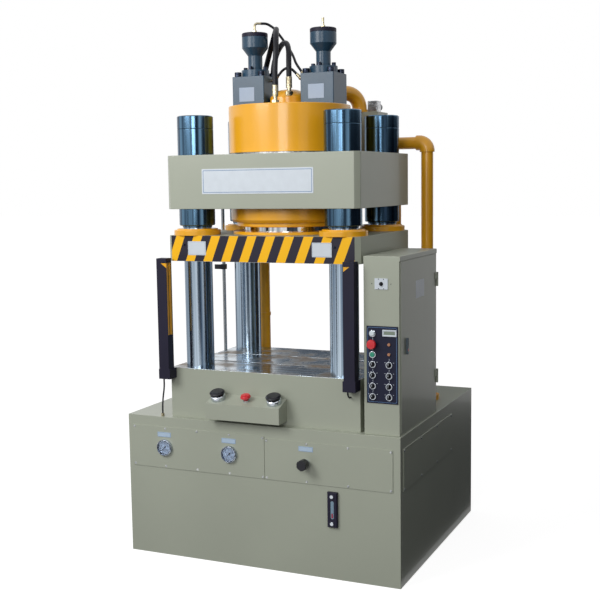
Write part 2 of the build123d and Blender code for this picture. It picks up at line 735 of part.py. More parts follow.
# Oil pipes down to the base: return pipe with a screwed elbow, and two behind the frame
return_z = crown_top + 50
elbow_r, elbow_bend = 33.5, 36
elbow_left, elbow_low = 49, 41
pipe_flange_r, pipe_flange_h = 55, 22
small_flange_r, small_flange_h = 42, 16
tank_pipe_low = 120
union_lift = 358
union_z, union_r, union_h = base_h + union_lift, 28, 16
rear_pipe_z, rear_pipe_bend = crown_bottom + 137, 52
with BuildPart() as return_pipe:
    add(bar((manifold_right, return_y, return_z), (return_x - elbow_left + 5, return_y, return_z),
            return_pipe_r))
    add(bar((return_x, return_y, tank_pipe_low), (return_x, return_y, return_z - elbow_low + 5),
            return_pipe_r))
    add(swept_tube(
        [
            (return_x - elbow_left, return_y, return_z), (return_x, return_y, return_z),
            (return_x, return_y, return_z - elbow_low),
        ],
        elbow_r, elbow_bend,
    ))
    with BuildSketch(Plane.XY.offset(base_h)):
        with Locations((return_x, return_y)):
            Circle(pipe_flange_r)
    extrude(amount=pipe_flange_h)
with BuildPart() as rear_pipes:
    add(swept_tube(
        [
            (left_pipe_x, rear_pipe_y, outlet_top), (left_pipe_x, rear_pipe_y, rear_pipe_z),
            (manifold_left, rear_pipe_y, rear_pipe_z),
        ],
        rear_pipe_r, rear_pipe_bend,
    ))
    with BuildSketch(Plane.XY.offset(union_z)):
        with Locations((left_pipe_x, rear_pipe_y)):
            Circle(union_r)
    extrude(amount=union_h)
    add(swept_tube(
        [
            (right_pipe_x, rear_pipe_y, tank_pipe_low), (right_pipe_x, rear_pipe_y, rear_pipe_z),
            (manifold_right, rear_pipe_y, rear_pipe_z),
        ],
        rear_pipe_r, rear_pipe_bend,
    ))
    with BuildSketch(Plane.XY.offset(base_h)):
        with Locations((left_pipe_x, rear_pipe_y), (right_pipe_x, rear_pipe_y)):
            Circle(small_flange_r)
    extrude(amount=small_flange_h)
write(Compound(children=[return_pipe.part, rear_pipes.part]), "oil_pipes")

# Hoses over the head, from the ferrule of one fitting to the next
fitting_h, fitting_neck_h, fitting_hex_h = 79, 33, 18
fitting_hex_r, fitting_neck_r, ferrule_r = 17, 9, 13
elbow_reach_x, elbow_reach_y = 22, 16
front_hose_x, front_hose_y = press_x + 2, press_y - 146


def over_head(*points):
    """Points given from the ram's axis and the head's top face."""
    return [(press_x + x, press_y + y, cylinder_top + height) for x, y, height in points]


hose_route_1 = [
    (front_hose_x, front_hose_y, cylinder_top + fitting_h),
    *over_head(
        (2, -146, 154), (6, -140, 231), (-7, -110, 290), (-31, -54, 324), (-63, 1, 316),
        (-99, 45, 276), (-137, 81, 216), (-170, 105, 144), (-170, 105, fitting_h),
    ),
]
hose_route_2 = [
    (dome_hose_x, dome_hose_y, dome_seat + fitting_h),
    *over_head(
        (27, -61, 180), (18, -39, 234), (-7, -3, 268), (-45, 37, 273), (-85, 70, 246),
        (-117, 96, 194), (-131, 113, 140), (-131, 113, fitting_h),
    ),
]
pilot_start = (block_xs[0] + elbow_reach_x, press_y + elbow_reach_y, bonnet_top + 42)
pilot_route_1 = [
    pilot_start,
    *over_head(
        (-116, 32, 360), (-89, 51, 340), (-59, 65, 296), (-11, 59, 232), (30, 9, 178.5), (55.2, 9, 145),
    ),
]
pilot_route_2 = over_head(
    (-55, 4, 131), (-31, 4, 156.5), (3, -16, 164), (36, -41, 149), (55, -41, 130),
)
port_high, port_low = cylinder_top + 124, cylinder_top + 114
block_ports = [                 # on the block's side, and the way each ferrule points
    ((block_xs[1] - block_w / 2, press_y + 9, port_high), -1, pilot_route_1[-1]),
    ((block_xs[0] + block_w / 2, press_y + 4, port_low), 1, pilot_route_2[0]),
    ((block_xs[1] - block_w / 2, press_y - 41, port_low), -1, pilot_route_2[-1]),
]
port_reach, port_r, port_ball_r, port_ferrule_r = 14, 7, 9, 7

for name, route in (
    ("main hose 1", hose_route_1), ("main hose 2", hose_route_2),
    ("pilot hose 1", pilot_route_1), ("pilot hose 2", pilot_route_2),
):
    print(name, "bend radii", [round(bend) for bend in easy_bends(route)])


def hose_fitting(x, y, seat):
    """An upright fitting: hexagon, neck and ferrule."""
    with BuildPart() as fitting:
        with BuildSketch(Plane(origin=(x, y, seat))):
            RegularPolygon(fitting_hex_r, 6)
        extrude(amount=fitting_hex_h)
        with BuildSketch(Plane(origin=(x, y, seat + fitting_hex_h))):
            Circle(fitting_neck_r)
        extrude(amount=fitting_neck_h - fitting_hex_h)
        with BuildSketch(Plane(origin=(x, y, seat + fitting_neck_h))):
            Circle(ferrule_r)
        extrude(amount=fitting_h - fitting_neck_h)
    return fitting.part


def port_fitting(port, way, hose_end):
    """A side fitting on a valve block, with a ferrule turned towards its hose."""
    x, y, z = port
    ball = (x + way * port_reach, y, z)
    with BuildPart() as fitting:
        add(bar(port, ball, port_r))
        with Locations(ball):
            Sphere(port_ball_r)
        add(bar(ball, hose_end, port_ferrule_r))
    return fitting.part


nipple_seat_r, nipple_top_h = 10, 44
with BuildPart() as end_fittings:
    add(hose_fitting(front_hose_x, front_hose_y, cylinder_top))
    add(hose_fitting(dome_hose_x, dome_hose_y, dome_seat))
    for x, y, z in (hose_route_1[-1], hose_route_2[-1]):
        add(hose_fitting(x, y, cylinder_top))
    for port, way, hose_end in block_ports:
        add(port_fitting(port, way, hose_end))
    for x in block_xs:
        with BuildSketch(Plane(origin=(x, press_y, bonnet_top))):
            RegularPolygon(nipple_seat_r, 6)
        extrude(amount=12)
    with BuildSketch(Plane(origin=(block_xs[1], press_y, bonnet_top + 12))):
        Circle(5)
    extrude(amount=nipple_top_h - 12)
    add(swept_tube(
        [
            (block_xs[0], press_y, bonnet_top + 12), (block_xs[0], press_y, bonnet_top + 42),
            pilot_route_1[0],
        ],
        5, 12,
    ))
guard_xs, guard_y = (plate_left - 0.5, plate_right - 25.5), plate_front - guard_reach
cable_spots = [                 # the gland on the base, and the guard's foot above it
    (guard_xs[0] - 39, guard_y + 21), (guard_xs[0] - 18, guard_y + 5),
]
gland_r_small, gland_h_small = 8, 12
with BuildPart() as cable_gland:
    with BuildSketch(Plane(origin=(*cable_spots[0], base_h))):
        RegularPolygon(gland_r_small, 6)
    extrude(amount=gland_h_small)
write(Compound(children=[end_fittings.part, cable_gland.part]), "end_fittings")

with BuildPart() as hoses:
    add(swept_tube(hose_route_1, hose_r, easy_bends(hose_route_1)))
    add(swept_tube(hose_route_2, hose_r, easy_bends(hose_route_2)))
    add(swept_tube(pilot_route_1, pilot_r, easy_bends(pilot_route_1)))
    add(swept_tube(pilot_route_2, pilot_r, easy_bends(pilot_route_2)))
write(hoses.part, "hoses")

# Electric cabinet beside the press
cabinet_x, cabinet_y = plate_right + cabinet_gap, front_y + cabinet_inset
cabinet_right = cabinet_x + cabinet_w
cabinet_back = cabinet_y + cabinet_d
cabinet_top = base_h + cabinet_h
door_x = cabinet_right
door_sheet = 3
door_bottom, door_top = base_h + 13, cabinet_top - cabinet_roof - 1
door_front = cabinet_y + 10
hinge_axis_x = door_x + door_sheet + clearance + hinge_r - 2
hinge_axis_y = cabinet_back - 6
door_back = hinge_axis_y - hinge_r + 1
door_lap = 16
panel_x, panel_bottom = cabinet_x + 77, base_h + 128
panel_top = panel_bottom + panel_h
panel_z = (panel_bottom + panel_top) / 2
panel_face_y = cabinet_y - panel_sheet
switch_x, switch_z, switch_w, switch_h = panel_x - 3, cabinet_top - 107.5, 54, 43
hinge_low, hinge_high = 130, 160          # from the cabinet's foot, and from its top
hinge_zs = (base_h + hinge_low, cabinet_top - hinge_high)

with BuildPart() as electric_cabinet:
    add(block(cabinet_x, cabinet_right, cabinet_y, cabinet_back, base_h, cabinet_top))
    add(block(
        cabinet_right, cabinet_right + door_sheet, cabinet_y, cabinet_back,
        cabinet_top - cabinet_roof, cabinet_top,
    ))
    add(block(
        cabinet_x + cabinet_sheet, cabinet_right - cabinet_sheet, cabinet_y + cabinet_sheet,
        cabinet_back - cabinet_sheet, base_h + cabinet_sheet, cabinet_top - cabinet_roof,
    ), mode=Mode.SUBTRACT)
    add(block(
        cabinet_right - cabinet_sheet, cabinet_right, door_front + door_lap, door_back - door_lap,
        door_bottom + door_lap, door_top - door_lap,
    ), mode=Mode.SUBTRACT)
    with BuildSketch(Plane.XZ.offset(-cabinet_y)):
        with Locations((panel_x, panel_z)):
            Rectangle(panel_w - 16, panel_h - 16)
        with Locations((switch_x, switch_z)):
            Circle(12)
    extrude(amount=-cabinet_sheet, mode=Mode.SUBTRACT)
write(electric_cabinet.part, "electric_cabinet")

handle_h = 66
handle_inset, handle_lift = 65.5, 316
handle_y, handle_bottom = door_front + handle_inset, base_h + handle_lift
handle_top = handle_bottom + handle_h
handle_pivot_z = handle_top - 14
handle_stem_r = 7
with BuildPart() as cabinet_door:
    add(block(door_x, door_x + door_sheet, door_front, door_back, door_bottom, door_top))
    for z in hinge_zs:
        add(block(
            door_x + door_sheet, hinge_axis_x + 1, door_back - 18, door_back, z + knuckle_h,
            z + 2 * knuckle_h,
        ))
        with BuildSketch(Plane(origin=(hinge_axis_x, hinge_axis_y, z + knuckle_h))):
            Circle(hinge_r)
        extrude(amount=knuckle_h)
    for z in hinge_zs:
        with BuildSketch(Plane(origin=(hinge_axis_x, hinge_axis_y, z + knuckle_h))):
            Circle(hinge_pin_r + running_fit)
        extrude(amount=knuckle_h, mode=Mode.SUBTRACT)
    with BuildSketch(Plane.YZ.offset(door_x)):
        with Locations((handle_y, handle_pivot_z)):
            Circle(handle_stem_r + clearance)
    extrude(amount=door_sheet, mode=Mode.SUBTRACT)
write(cabinet_door.part, "cabinet_door")

with BuildPart() as cabinet_hinges:
    for z in hinge_zs:
        with BuildSketch(Plane(origin=(hinge_axis_x, hinge_axis_y, z))):
            Circle(hinge_r)
        extrude(amount=knuckle_h)
        with BuildSketch(Plane(origin=(hinge_axis_x, hinge_axis_y, z + knuckle_h))):
            Circle(hinge_pin_r)
        extrude(amount=knuckle_h)
        add(block(
            cabinet_right, hinge_axis_x, hinge_axis_y, cabinet_back, z, z + knuckle_h,
        ))
write(cabinet_hinges.part, "cabinet_hinges")

# Door handle: a slim lever on a stem through the door, with a short latch arm inside
handle_w, handle_d = 13, 8
latch_reach = 26
with BuildPart() as door_handle:
    with BuildSketch(Plane.YZ.offset(door_x + door_sheet + clearance)):
        with Locations((handle_y, (handle_bottom + handle_top) / 2)):
            SlotOverall(handle_top - handle_bottom, handle_w, rotation=90)
    extrude(amount=handle_d)
    with BuildSketch(Plane.YZ.offset(door_x - 10)):
        with Locations((handle_y, handle_pivot_z)):
            Circle(handle_stem_r)
    extrude(amount=door_sheet + 10 + clearance)
    with BuildSketch(Plane.YZ.offset(door_x - 12)):
        with Locations((handle_y - latch_reach / 2, handle_pivot_z)):
            Rectangle(latch_reach, 12)
        with Locations((handle_y, handle_pivot_z)):
            Circle(handle_stem_r)
    extrude(amount=4)
write(door_handle.part, "door_handle")

# Wiring inside: a plate on four bosses, with rows of devices
gear_x = cabinet_x + cabinet_sheet + 8
gear_front, gear_back = cabinet_y + 60, cabinet_back - 40
gear_bottom, gear_top = base_h + 48, cabinet_top - 50
gear_sheet = 3
device_rows = [                 # bottom over the plate's edge, height, width, depth
    (40, 60, 46, 45),
    (170, 85, 58, 78),
    (325, 90, 60, 70),
    (480, 90, 72, 66),
]
device_counts = (7, 5, 5, 4)    # devices in each row
with BuildPart() as gear_plate:
    add(block(gear_x, gear_x + gear_sheet, gear_front, gear_back, gear_bottom, gear_top))
    with BuildSketch(Plane.YZ.offset(cabinet_x + cabinet_sheet)):
        with Locations(((gear_front + gear_back) / 2, (gear_bottom + gear_top) / 2)):
            with GridLocations(gear_back - gear_front - 30, gear_top - gear_bottom - 30, 2, 2):
                RegularPolygon(8, 6)
    extrude(amount=gear_x - cabinet_x - cabinet_sheet)
with BuildPart() as devices:
    for (bottom, height, width, depth), count in zip(device_rows, device_counts):
        with BuildSketch(Plane.YZ.offset(gear_x + gear_sheet)):
            with Locations(((gear_front + gear_back) / 2, gear_bottom + bottom + height / 2)):
                with GridLocations((gear_back - gear_front - width) / count, 1, count, 1):
                    Rectangle(width, height)
        extrude(amount=depth)
write(Compound(children=[gear_plate.part, devices.part]), "cabinet_gear")

# Control panel and the fittings in it
left_column_x, right_column_x = panel_x - 39, panel_x + 29
lamp_z, stop_z, start_z = panel_top - 30, panel_top - 72, panel_top - 113
knob_zs = (panel_top - 152, panel_top - 195, panel_top - 238, panel_top - 280)
small_lamp_zs = (panel_top - 71, panel_top - 110)
display_x, display_z, display_w, display_h = panel_x + 32, panel_top - 26, 58, 26
hole_r = knob_r + clearance
collar_r, collar_h = 13.5, 5
small_lamp_r, lamp_r = 6, 11
knob_spots = [(x, z) for x in (left_column_x, right_column_x) for z in knob_zs]
button_spots = [(left_column_x, stop_z), (left_column_x, start_z)]
control_spots = button_spots + knob_spots

with BuildPart() as control_panel:
    with BuildSketch(Plane.XZ.offset(-cabinet_y)):
        with Locations((panel_x, panel_z)):
            Rectangle(panel_w, panel_h)
        with Locations(*control_spots):
            Circle(hole_r, mode=Mode.SUBTRACT)
    extrude(amount=panel_sheet)
    with BuildSketch(Plane.XZ.offset(-cabinet_y)):
        with Locations((switch_x, switch_z)):
            Rectangle(switch_w, switch_h)
            Circle(hole_r - 2, mode=Mode.SUBTRACT)
    extrude(amount=panel_sheet)
write(control_panel.part, "control_panel")

pressure_collar_r, pressure_collar_h = 14, 12
with BuildPart() as panel_fittings:
    with BuildSketch(Plane.XZ.offset(-panel_face_y)):
        with Locations(*control_spots):
            Circle(collar_r)
            Circle(hole_r, mode=Mode.SUBTRACT)
    extrude(amount=collar_h)
    add(turned(
        towards_operator(left_column_x, panel_face_y, lamp_z),
        (0, 0), (collar_r, 0), (collar_r, collar_h), (lamp_r, collar_h), (lamp_r, 10),
        (lamp_r - 4, 13), (0, 13),
    ))
    with BuildSketch(Plane.XZ.offset(-panel_face_y)):
        with Locations(*[(right_column_x, z) for z in small_lamp_zs]):
            Circle(small_lamp_r)
        with Locations((display_x, display_z)):
            Rectangle(display_w, display_h)
    extrude(amount=6)
    with BuildSketch(Plane.XZ.offset(-panel_face_y + 4)):
        with Locations((display_x, display_z)):
            Rectangle(display_w - 10, display_h - 10)
    extrude(amount=2, mode=Mode.SUBTRACT)
with BuildPart() as pressure_collar:
    add(turned(
        towards_operator(pressure_x, cover_front_y, pressure_z),
        (pressure_stem_r - 3, -40), (pressure_stem_r, -40), (pressure_stem_r, 0), (pressure_collar_r, 0),
        (pressure_collar_r, pressure_collar_h), (pressure_stem_r - 3, pressure_collar_h),
    ))

stop_gap = stop_travel + 2
stop_cap_h = 14
with BuildPart() as panel_stop_button:
    add(turned(
        towards_operator(left_column_x, panel_face_y, stop_z),
        (0, -12), (knob_r, -12), (knob_r, collar_h + stop_gap), (stop_r - 5, collar_h + stop_gap),
        (stop_r, collar_h + stop_gap + 5), (stop_r - 3, collar_h + stop_gap + stop_cap_h - 2),
        (0, collar_h + stop_gap + stop_cap_h),
    ))
write(panel_stop_button.part, "panel_stop_button")

with BuildPart() as start_button:
    add(turned(
        towards_operator(left_column_x, panel_face_y, start_z),
        (0, -12), (knob_r, -12), (knob_r, collar_h + start_travel), (knob_r - 1, collar_h + start_travel + 1),
        (0, collar_h + start_travel + 1),
    ))
write(start_button.part, "start_button")

knob_base_h, grip_w, grip_h = 7, 7, 9
for number, (x, z) in enumerate(knob_spots, start=1):
    with BuildPart() as selector_knob:
        with BuildSketch(Plane.XZ.offset(-panel_face_y - 12)):
            with Locations((x, z)):
                Circle(knob_r)
        extrude(amount=12 + knob_base_h)
        with BuildSketch(Plane.XZ.offset(-panel_face_y + knob_base_h)):
            with Locations((x, z)):
                Rectangle(grip_w, 2 * knob_r - 2)
        extrude(amount=grip_h)
    write(selector_knob.part, f"selector_knob_{number}")

with BuildPart() as main_switch_knob:
    add(turned(
        towards_operator(switch_x, panel_face_y, switch_z),
        (0, -10), (hole_r - 2 - clearance, -10), (hole_r - 2 - clearance, 2), (0, 2),
    ))
    with BuildSketch(Plane.XZ.offset(-panel_face_y + 2)):
        with Locations((switch_x, switch_z)):
            Rectangle(5, 13)
    extrude(amount=6)
write(main_switch_knob.part, "main_switch_knob")

# Pressure setting knob: a fluted grip that narrows to its nose, on a stem in the collar
pressure_knob_r, pressure_knob_h, pressure_nose_r, flute_r = 22, 44, 17, 5
pressure_gap = 1
with BuildPart() as pressure_knob:
    add(turned(
        towards_operator(pressure_x, cover_front_y, pressure_z),
        (0, -30), (pressure_stem_r - 3 - running_fit, -30),
        (pressure_stem_r - 3 - running_fit, pressure_collar_h + pressure_gap),
        (pressure_nose_r, pressure_collar_h + pressure_gap),
        (pressure_knob_r, pressure_collar_h + pressure_gap + 10),
        (pressure_knob_r, pressure_collar_h + pressure_gap + pressure_knob_h - 3),
        (pressure_knob_r - 3, pressure_collar_h + pressure_gap + pressure_knob_h),
        (0, pressure_collar_h + pressure_gap + pressure_knob_h),
    ))
    with BuildSketch(Plane.XZ.offset(-cover_front_y + pressure_collar_h + pressure_gap)):
        with Locations((pressure_x, pressure_z)):
            with PolarLocations(pressure_knob_r + 2, 6):
                Circle(flute_r)
    extrude(amount=pressure_knob_h, mode=Mode.SUBTRACT)
write(pressure_knob.part, "pressure_knob")

# Two-hand box: a folded sheet box with a sloping top, hung on the front of the bed
desk_left, desk_bottom = press_x - 225, base_h + desk_lift
desk_sheet = 3
desk_front = plate_front - desk_d
desk_slope = atan2(desk_back_h - desk_front_h, desk_d)
slope_plane = Plane(
    origin=(0, desk_front, desk_bottom + desk_front_h),
    x_dir=(1, 0, 0),
    z_dir=(0, -(desk_back_h - desk_front_h), desk_d),
)
slope_d = (desk_d**2 + (desk_back_h - desk_front_h) ** 2) ** 0.5
palm_xs, mushroom_x = (desk_left + 40, desk_left + desk_w - 38), desk_left + 171
desk_collar_r, desk_collar_h, desk_stem_r = 31, 20, 14
desk_stop_collar_r, desk_stop_collar_h = 13.5, 6
desk_row = slope_d * 0.5


def on_slope(x, reach=0):
    """Half-section plane of a control that stands square to the box's sloping top."""
    centre = slope_plane.from_local_coords(Vector(x, desk_row, reach))
    return Plane(origin=centre, x_dir=(1, 0, 0), z_dir=-slope_plane.y_dir)


with BuildPart() as two_hand_box:
    with BuildSketch(Plane.YZ.offset(desk_left)):
        with BuildLine():
            Polyline(
                (desk_front, desk_bottom), (plate_front, desk_bottom),
                (plate_front, desk_bottom + desk_back_h), (desk_front, desk_bottom + desk_front_h),
                close=True,
            )
        make_face()
    extrude(amount=desk_w)
    with BuildSketch(Plane.YZ.offset(desk_left + desk_sheet)) as desk_hollow:
        with BuildLine():
            Polyline(
                (desk_front, desk_bottom), (plate_front, desk_bottom),
                (plate_front, desk_bottom + desk_back_h), (desk_front, desk_bottom + desk_front_h),
                close=True,
            )
        make_face()
        offset(amount=-desk_sheet, kind=Kind.INTERSECTION, mode=Mode.REPLACE)
    extrude(amount=desk_w - 2 * desk_sheet, mode=Mode.SUBTRACT)
    with BuildSketch(slope_plane):
        with Locations(*[(x, desk_row) for x in palm_xs]):
            Circle(desk_stem_r + clearance)
        with Locations((mushroom_x, desk_row)):
            Circle(hole_r)
    extrude(amount=-desk_sheet - 1, mode=Mode.SUBTRACT)
write(two_hand_box.part, "two_hand_box")

with BuildPart() as box_collars:
    for x in palm_xs:
        add(turned(
            on_slope(x),
            (desk_stem_r + clearance, 0), (desk_collar_r, 0), (desk_collar_r, desk_collar_h - 3),
            (desk_collar_r - 3, desk_collar_h), (desk_stem_r + clearance, desk_collar_h),
        ))
    add(turned(
        on_slope(mushroom_x),
        (hole_r, 0), (desk_stop_collar_r, 0), (desk_stop_collar_r, desk_stop_collar_h),
        (hole_r, desk_stop_collar_h),
    ))
write(
    Compound(children=[panel_fittings.part, pressure_collar.part, box_collars.part]), "control_fittings"
)

palm_cap_h = 12
palm_gap = palm_travel + 1
for side, x in zip(("left", "right"), palm_xs):
    with BuildPart() as palm_button:
        add(turned(
            on_slope(x),
            (0, -14), (desk_stem_r, -14), (desk_stem_r, desk_collar_h + palm_gap),
            (palm_r - 3, desk_collar_h + palm_gap), (palm_r, desk_collar_h + palm_gap + 3),
            (palm_r, desk_collar_h + palm_gap + palm_cap_h - 4),
            (palm_r - 6, desk_collar_h + palm_gap + palm_cap_h), (0, desk_collar_h + palm_gap + palm_cap_h),
        ))
    write(palm_button.part, f"{side}_palm_button")

desk_stop_r = 22.5
with BuildPart() as desk_stop_button:
    add(turned(
        on_slope(mushroom_x),
        (0, -14), (knob_r, -14), (knob_r, desk_stop_collar_h + stop_gap),
        (desk_stop_r - 6, desk_stop_collar_h + stop_gap), (desk_stop_r, desk_stop_collar_h + stop_gap + 6),
        (desk_stop_r - 4, desk_stop_collar_h + stop_gap + 15), (0, desk_stop_collar_h + stop_gap + 18),
    ))
write(desk_stop_button.part, "desk_stop_button")

# Light guards: channels on brackets at the front corners, each around a light curtain
guard_bottom = bed_top
curtain_bottom = guard_bottom + 146
guard_top = guard_bottom + guard_h
curtain_top = guard_top - guard_cap
bracket_w, bracket_h = 55, 43
notch_w, notch_h = 29, 22
window_w, window_depth = 10, 3

with BuildPart() as curtain_guards:
    for side, guard_x in zip((-1, 1), guard_xs):
        inner = guard_x - side * guard_w / 2
        with BuildSketch(Plane.XY.offset(guard_bottom)):
            with Locations((guard_x, guard_y)):
                Rectangle(guard_w, guard_d)
        extrude(amount=guard_h)
        with BuildSketch(Plane.XY.offset(curtain_bottom)):
            with Locations((inner + side * (guard_w - guard_wall) / 2, guard_y)):
                Rectangle(guard_w - guard_wall, guard_d - 2 * guard_wall)
        extrude(amount=curtain_top - curtain_bottom, mode=Mode.SUBTRACT)
        with BuildSketch(Plane.XZ.offset(-guard_y + guard_d / 2)):
            with BuildLine():
                Polyline(
                    (inner, curtain_top - notch_h), (inner, curtain_top),
                    (inner + side * notch_w, curtain_top), close=True,
                )
            make_face()
        extrude(amount=-guard_wall, mode=Mode.SUBTRACT)
        bracket_front = guard_y - guard_d / 2
        with BuildSketch(Plane.XY.offset(guard_bottom - bracket_h)):
            with Locations((guard_x - side, (bracket_front + plate_front) / 2)):
                Rectangle(bracket_w, plate_front - bracket_front)
        extrude(amount=bracket_h)
write(curtain_guards.part, "curtain_guards")

with BuildPart() as light_curtains:
    for side, guard_x in zip((-1, 1), guard_xs):
        inner = guard_x - side * guard_w / 2
        curtain_w = guard_w - guard_wall - 2
        with BuildSketch(Plane.XY.offset(curtain_bottom)):
            with Locations((inner + side * (2 + curtain_w / 2), guard_y)):
                Rectangle(curtain_w, guard_d - 2 * guard_wall)
            with Locations((inner + side * (2 + window_depth / 2), guard_y)):
                Rectangle(window_depth, window_w, mode=Mode.SUBTRACT)
        extrude(amount=curtain_top - curtain_bottom)
write(light_curtains.part, "light_curtains")

right_cable_route = [
    (guard_xs[1] - 18, guard_y + 9, guard_bottom - bracket_h),
    (guard_xs[1] - 18, guard_y + 9, guard_bottom - bracket_h - 17),
    (guard_xs[1] - 15, guard_y + 18, guard_bottom - bracket_h - 31),
    (guard_xs[1] - 15, plate_front, guard_bottom - bracket_h - 31),
]
left_cable_route = [
    (*cable_spots[1], guard_bottom - bracket_h), (*cable_spots[1], base_h + 130),
    (guard_xs[0] - 32, guard_y + 14, base_h + 78),
    (*cable_spots[0], base_h + 38), (*cable_spots[0], base_h + gland_h_small),
]
with BuildPart() as curtain_cables:
    for route in (left_cable_route, right_cable_route):
        add(swept_tube(route, cable_r, easy_bends(route)))
write(curtain_cables.part, "curtain_cables")

# Stroke rod beside the slide, on brackets from crown and bed, with one limit switch
rod_x, rod_y, rod_r = plate_left - 12.5, press_y + 207, 8
rod_bottom, rod_top = bed_top - 50, crown_bottom + 40
bracket_d, bracket_z = 24, 20
switch_level = slide_bottom - 66
with BuildPart() as rod:
    with BuildSketch(Plane(origin=(rod_x, rod_y, rod_bottom))):
        Circle(rod_r)
    extrude(amount=rod_top - rod_bottom)
    for z in (rod_bottom + 8, rod_top - 28):
        add(block(
            rod_x - rod_r - 5, plate_left, rod_y - bracket_d / 2, rod_y + bracket_d / 2, z, z + bracket_z,
        ))
with BuildPart() as limit_switch:
    with BuildSketch(Plane(origin=(rod_x, rod_y, switch_level - 12))):
        Rectangle(20, 26)
        Circle(rod_r + seat_fit, mode=Mode.SUBTRACT)
    extrude(amount=24)
    with BuildSketch(Plane(origin=(rod_x, rod_y, switch_level - 12))):
        with BuildLine():
            Polyline((-10, -9), (-34, -9), (-48, -3), (-48, 3), (-34, 9), (-10, 9), close=True)
        make_face()
    extrude(amount=22)
write(Compound(children=[rod.part, limit_switch.part]), "stroke_rod")
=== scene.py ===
# %% [markdown]
# # A four-column hydraulic press
# The press is a stack of heavy plates on chrome columns, with a painted cylinder on top and an oil tank
# below. The measured solids come in as a fixed frame, already in metres. This lesson dresses them: each
# solid gets broken edges and a finish, and what the solids leave out, such as plates, dials and stripes,
# is added where the real press carries it.

# %% Load the measured frame
import bpy
import bmesh
import json
from math import cos, pi, radians, sin
from mathutils import Matrix, Vector

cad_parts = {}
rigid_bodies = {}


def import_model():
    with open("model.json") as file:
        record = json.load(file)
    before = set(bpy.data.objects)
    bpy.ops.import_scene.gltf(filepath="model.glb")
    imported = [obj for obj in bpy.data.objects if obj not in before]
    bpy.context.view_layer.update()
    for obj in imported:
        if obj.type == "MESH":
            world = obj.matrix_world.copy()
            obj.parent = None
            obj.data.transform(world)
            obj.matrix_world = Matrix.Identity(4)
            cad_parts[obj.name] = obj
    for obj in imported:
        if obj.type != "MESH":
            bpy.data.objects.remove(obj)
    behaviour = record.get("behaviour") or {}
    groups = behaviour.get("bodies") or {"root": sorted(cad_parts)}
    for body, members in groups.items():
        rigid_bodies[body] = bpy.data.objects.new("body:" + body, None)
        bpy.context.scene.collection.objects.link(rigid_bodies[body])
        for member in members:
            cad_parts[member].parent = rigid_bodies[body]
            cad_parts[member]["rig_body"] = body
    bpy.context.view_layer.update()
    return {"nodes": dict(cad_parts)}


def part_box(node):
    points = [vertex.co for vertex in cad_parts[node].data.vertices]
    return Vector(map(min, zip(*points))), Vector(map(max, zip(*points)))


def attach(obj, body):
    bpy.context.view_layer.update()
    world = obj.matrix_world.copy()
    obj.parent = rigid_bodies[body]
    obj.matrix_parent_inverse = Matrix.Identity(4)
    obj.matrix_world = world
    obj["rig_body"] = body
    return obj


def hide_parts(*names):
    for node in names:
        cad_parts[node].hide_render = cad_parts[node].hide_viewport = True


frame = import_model()
nodes = frame["nodes"]

# %% [markdown]
# ## Camera
# The photograph was taken from eye height, to the right of the press, with a long lens. A camera can be
# set by eye, but the straight edges of the plates tell more: its place, its turn to the left, its small
# tilt down and its roll were worked out from them, so the press fills the frame as in the photograph.

# %% Place the camera
CAMERA_PLACE = Vector((1.9055, -4.3482, 1.6099))
CAMERA_YAW, CAMERA_PITCH, CAMERA_ROLL = radians(24.05), radians(-6.42), radians(-0.8)
FOCAL_PIXELS, FRAME_PIXELS, SENSOR = 1049.34, 600, 36


def new_object(name, data):
    """A new object in the scene."""
    thing = bpy.data.objects.new(name, data)
    bpy.context.scene.collection.objects.link(thing)
    return thing


def camera_turn(yaw, pitch, roll):
    """The camera's rotation, from where it looks and how it leans."""
    ahead = Vector((-sin(yaw) * cos(pitch), cos(yaw) * cos(pitch), sin(pitch)))
    level = Vector((cos(yaw), sin(yaw), 0))
    above = level.cross(ahead)
    right = level * cos(roll) + above * sin(roll)
    up = above * cos(roll) - level * sin(roll)
    return Matrix((right, up, -ahead)).transposed().to_4x4()


camera_data = bpy.data.cameras.new("camera")
camera_data.sensor_width = SENSOR
camera_data.lens = FOCAL_PIXELS / FRAME_PIXELS * SENSOR
camera = new_object("camera", camera_data)
camera.matrix_world = Matrix.Translation(CAMERA_PLACE) @ camera_turn(CAMERA_YAW, CAMERA_PITCH, CAMERA_ROLL)
bpy.context.scene.camera = camera
print("lens:", round(camera_data.lens, 2))

# %% [markdown]
# ## Shared effects
# No finish on the press is even. Sprayed paint has faint clouds of tone, a fine orange peel and a few
# rubbed spots, and turned or ground steel has hair lines. Each material could draw them anew. One small
# shader group for each effect, with named inputs, is shorter and keeps the finishes alike. A group only
# puts out masks and heights. The shader, with its plain numbers, stays in each material.


# %% Groups, nodes and links
def new_group(name, tree_kind, inputs, outputs):
    """A node group with named inputs, each a default number or a kind of socket, and named outputs."""
    group = bpy.data.node_groups.new(name, tree_kind)
    for label, value in inputs.items():
        kind = value if isinstance(value, str) else "Float"
        socket = group.interface.new_socket(label, in_out="INPUT", socket_type="NodeSocket" + kind)
        if kind != value:
            socket.default_value = value
    for label, kind in outputs.items():
        group.interface.new_socket(label, in_out="OUTPUT", socket_type="NodeSocket" + kind)
    return group, group.nodes.new("NodeGroupInput").outputs, group.nodes.new("NodeGroupOutput").inputs


def feed(tree, socket, value):
    """Gives a socket a link or a plain value."""
    if isinstance(value, bpy.types.NodeSocket):
        tree.links.new(value, socket)
    else:
        socket.default_value = value


def add_node(tree, kind, settings=None, **inputs):
    """A node with its settings, and its named inputs fed. A name's underscores stand for blanks."""
    node = tree.nodes.new(kind)
    for name, value in (settings or {}).items():
        setattr(node, name, value)
    for label, value in inputs.items():
        feed(tree, node.inputs[label.replace("_", " ")], value)
    return node


print("node groups so far:", len(bpy.data.node_groups))


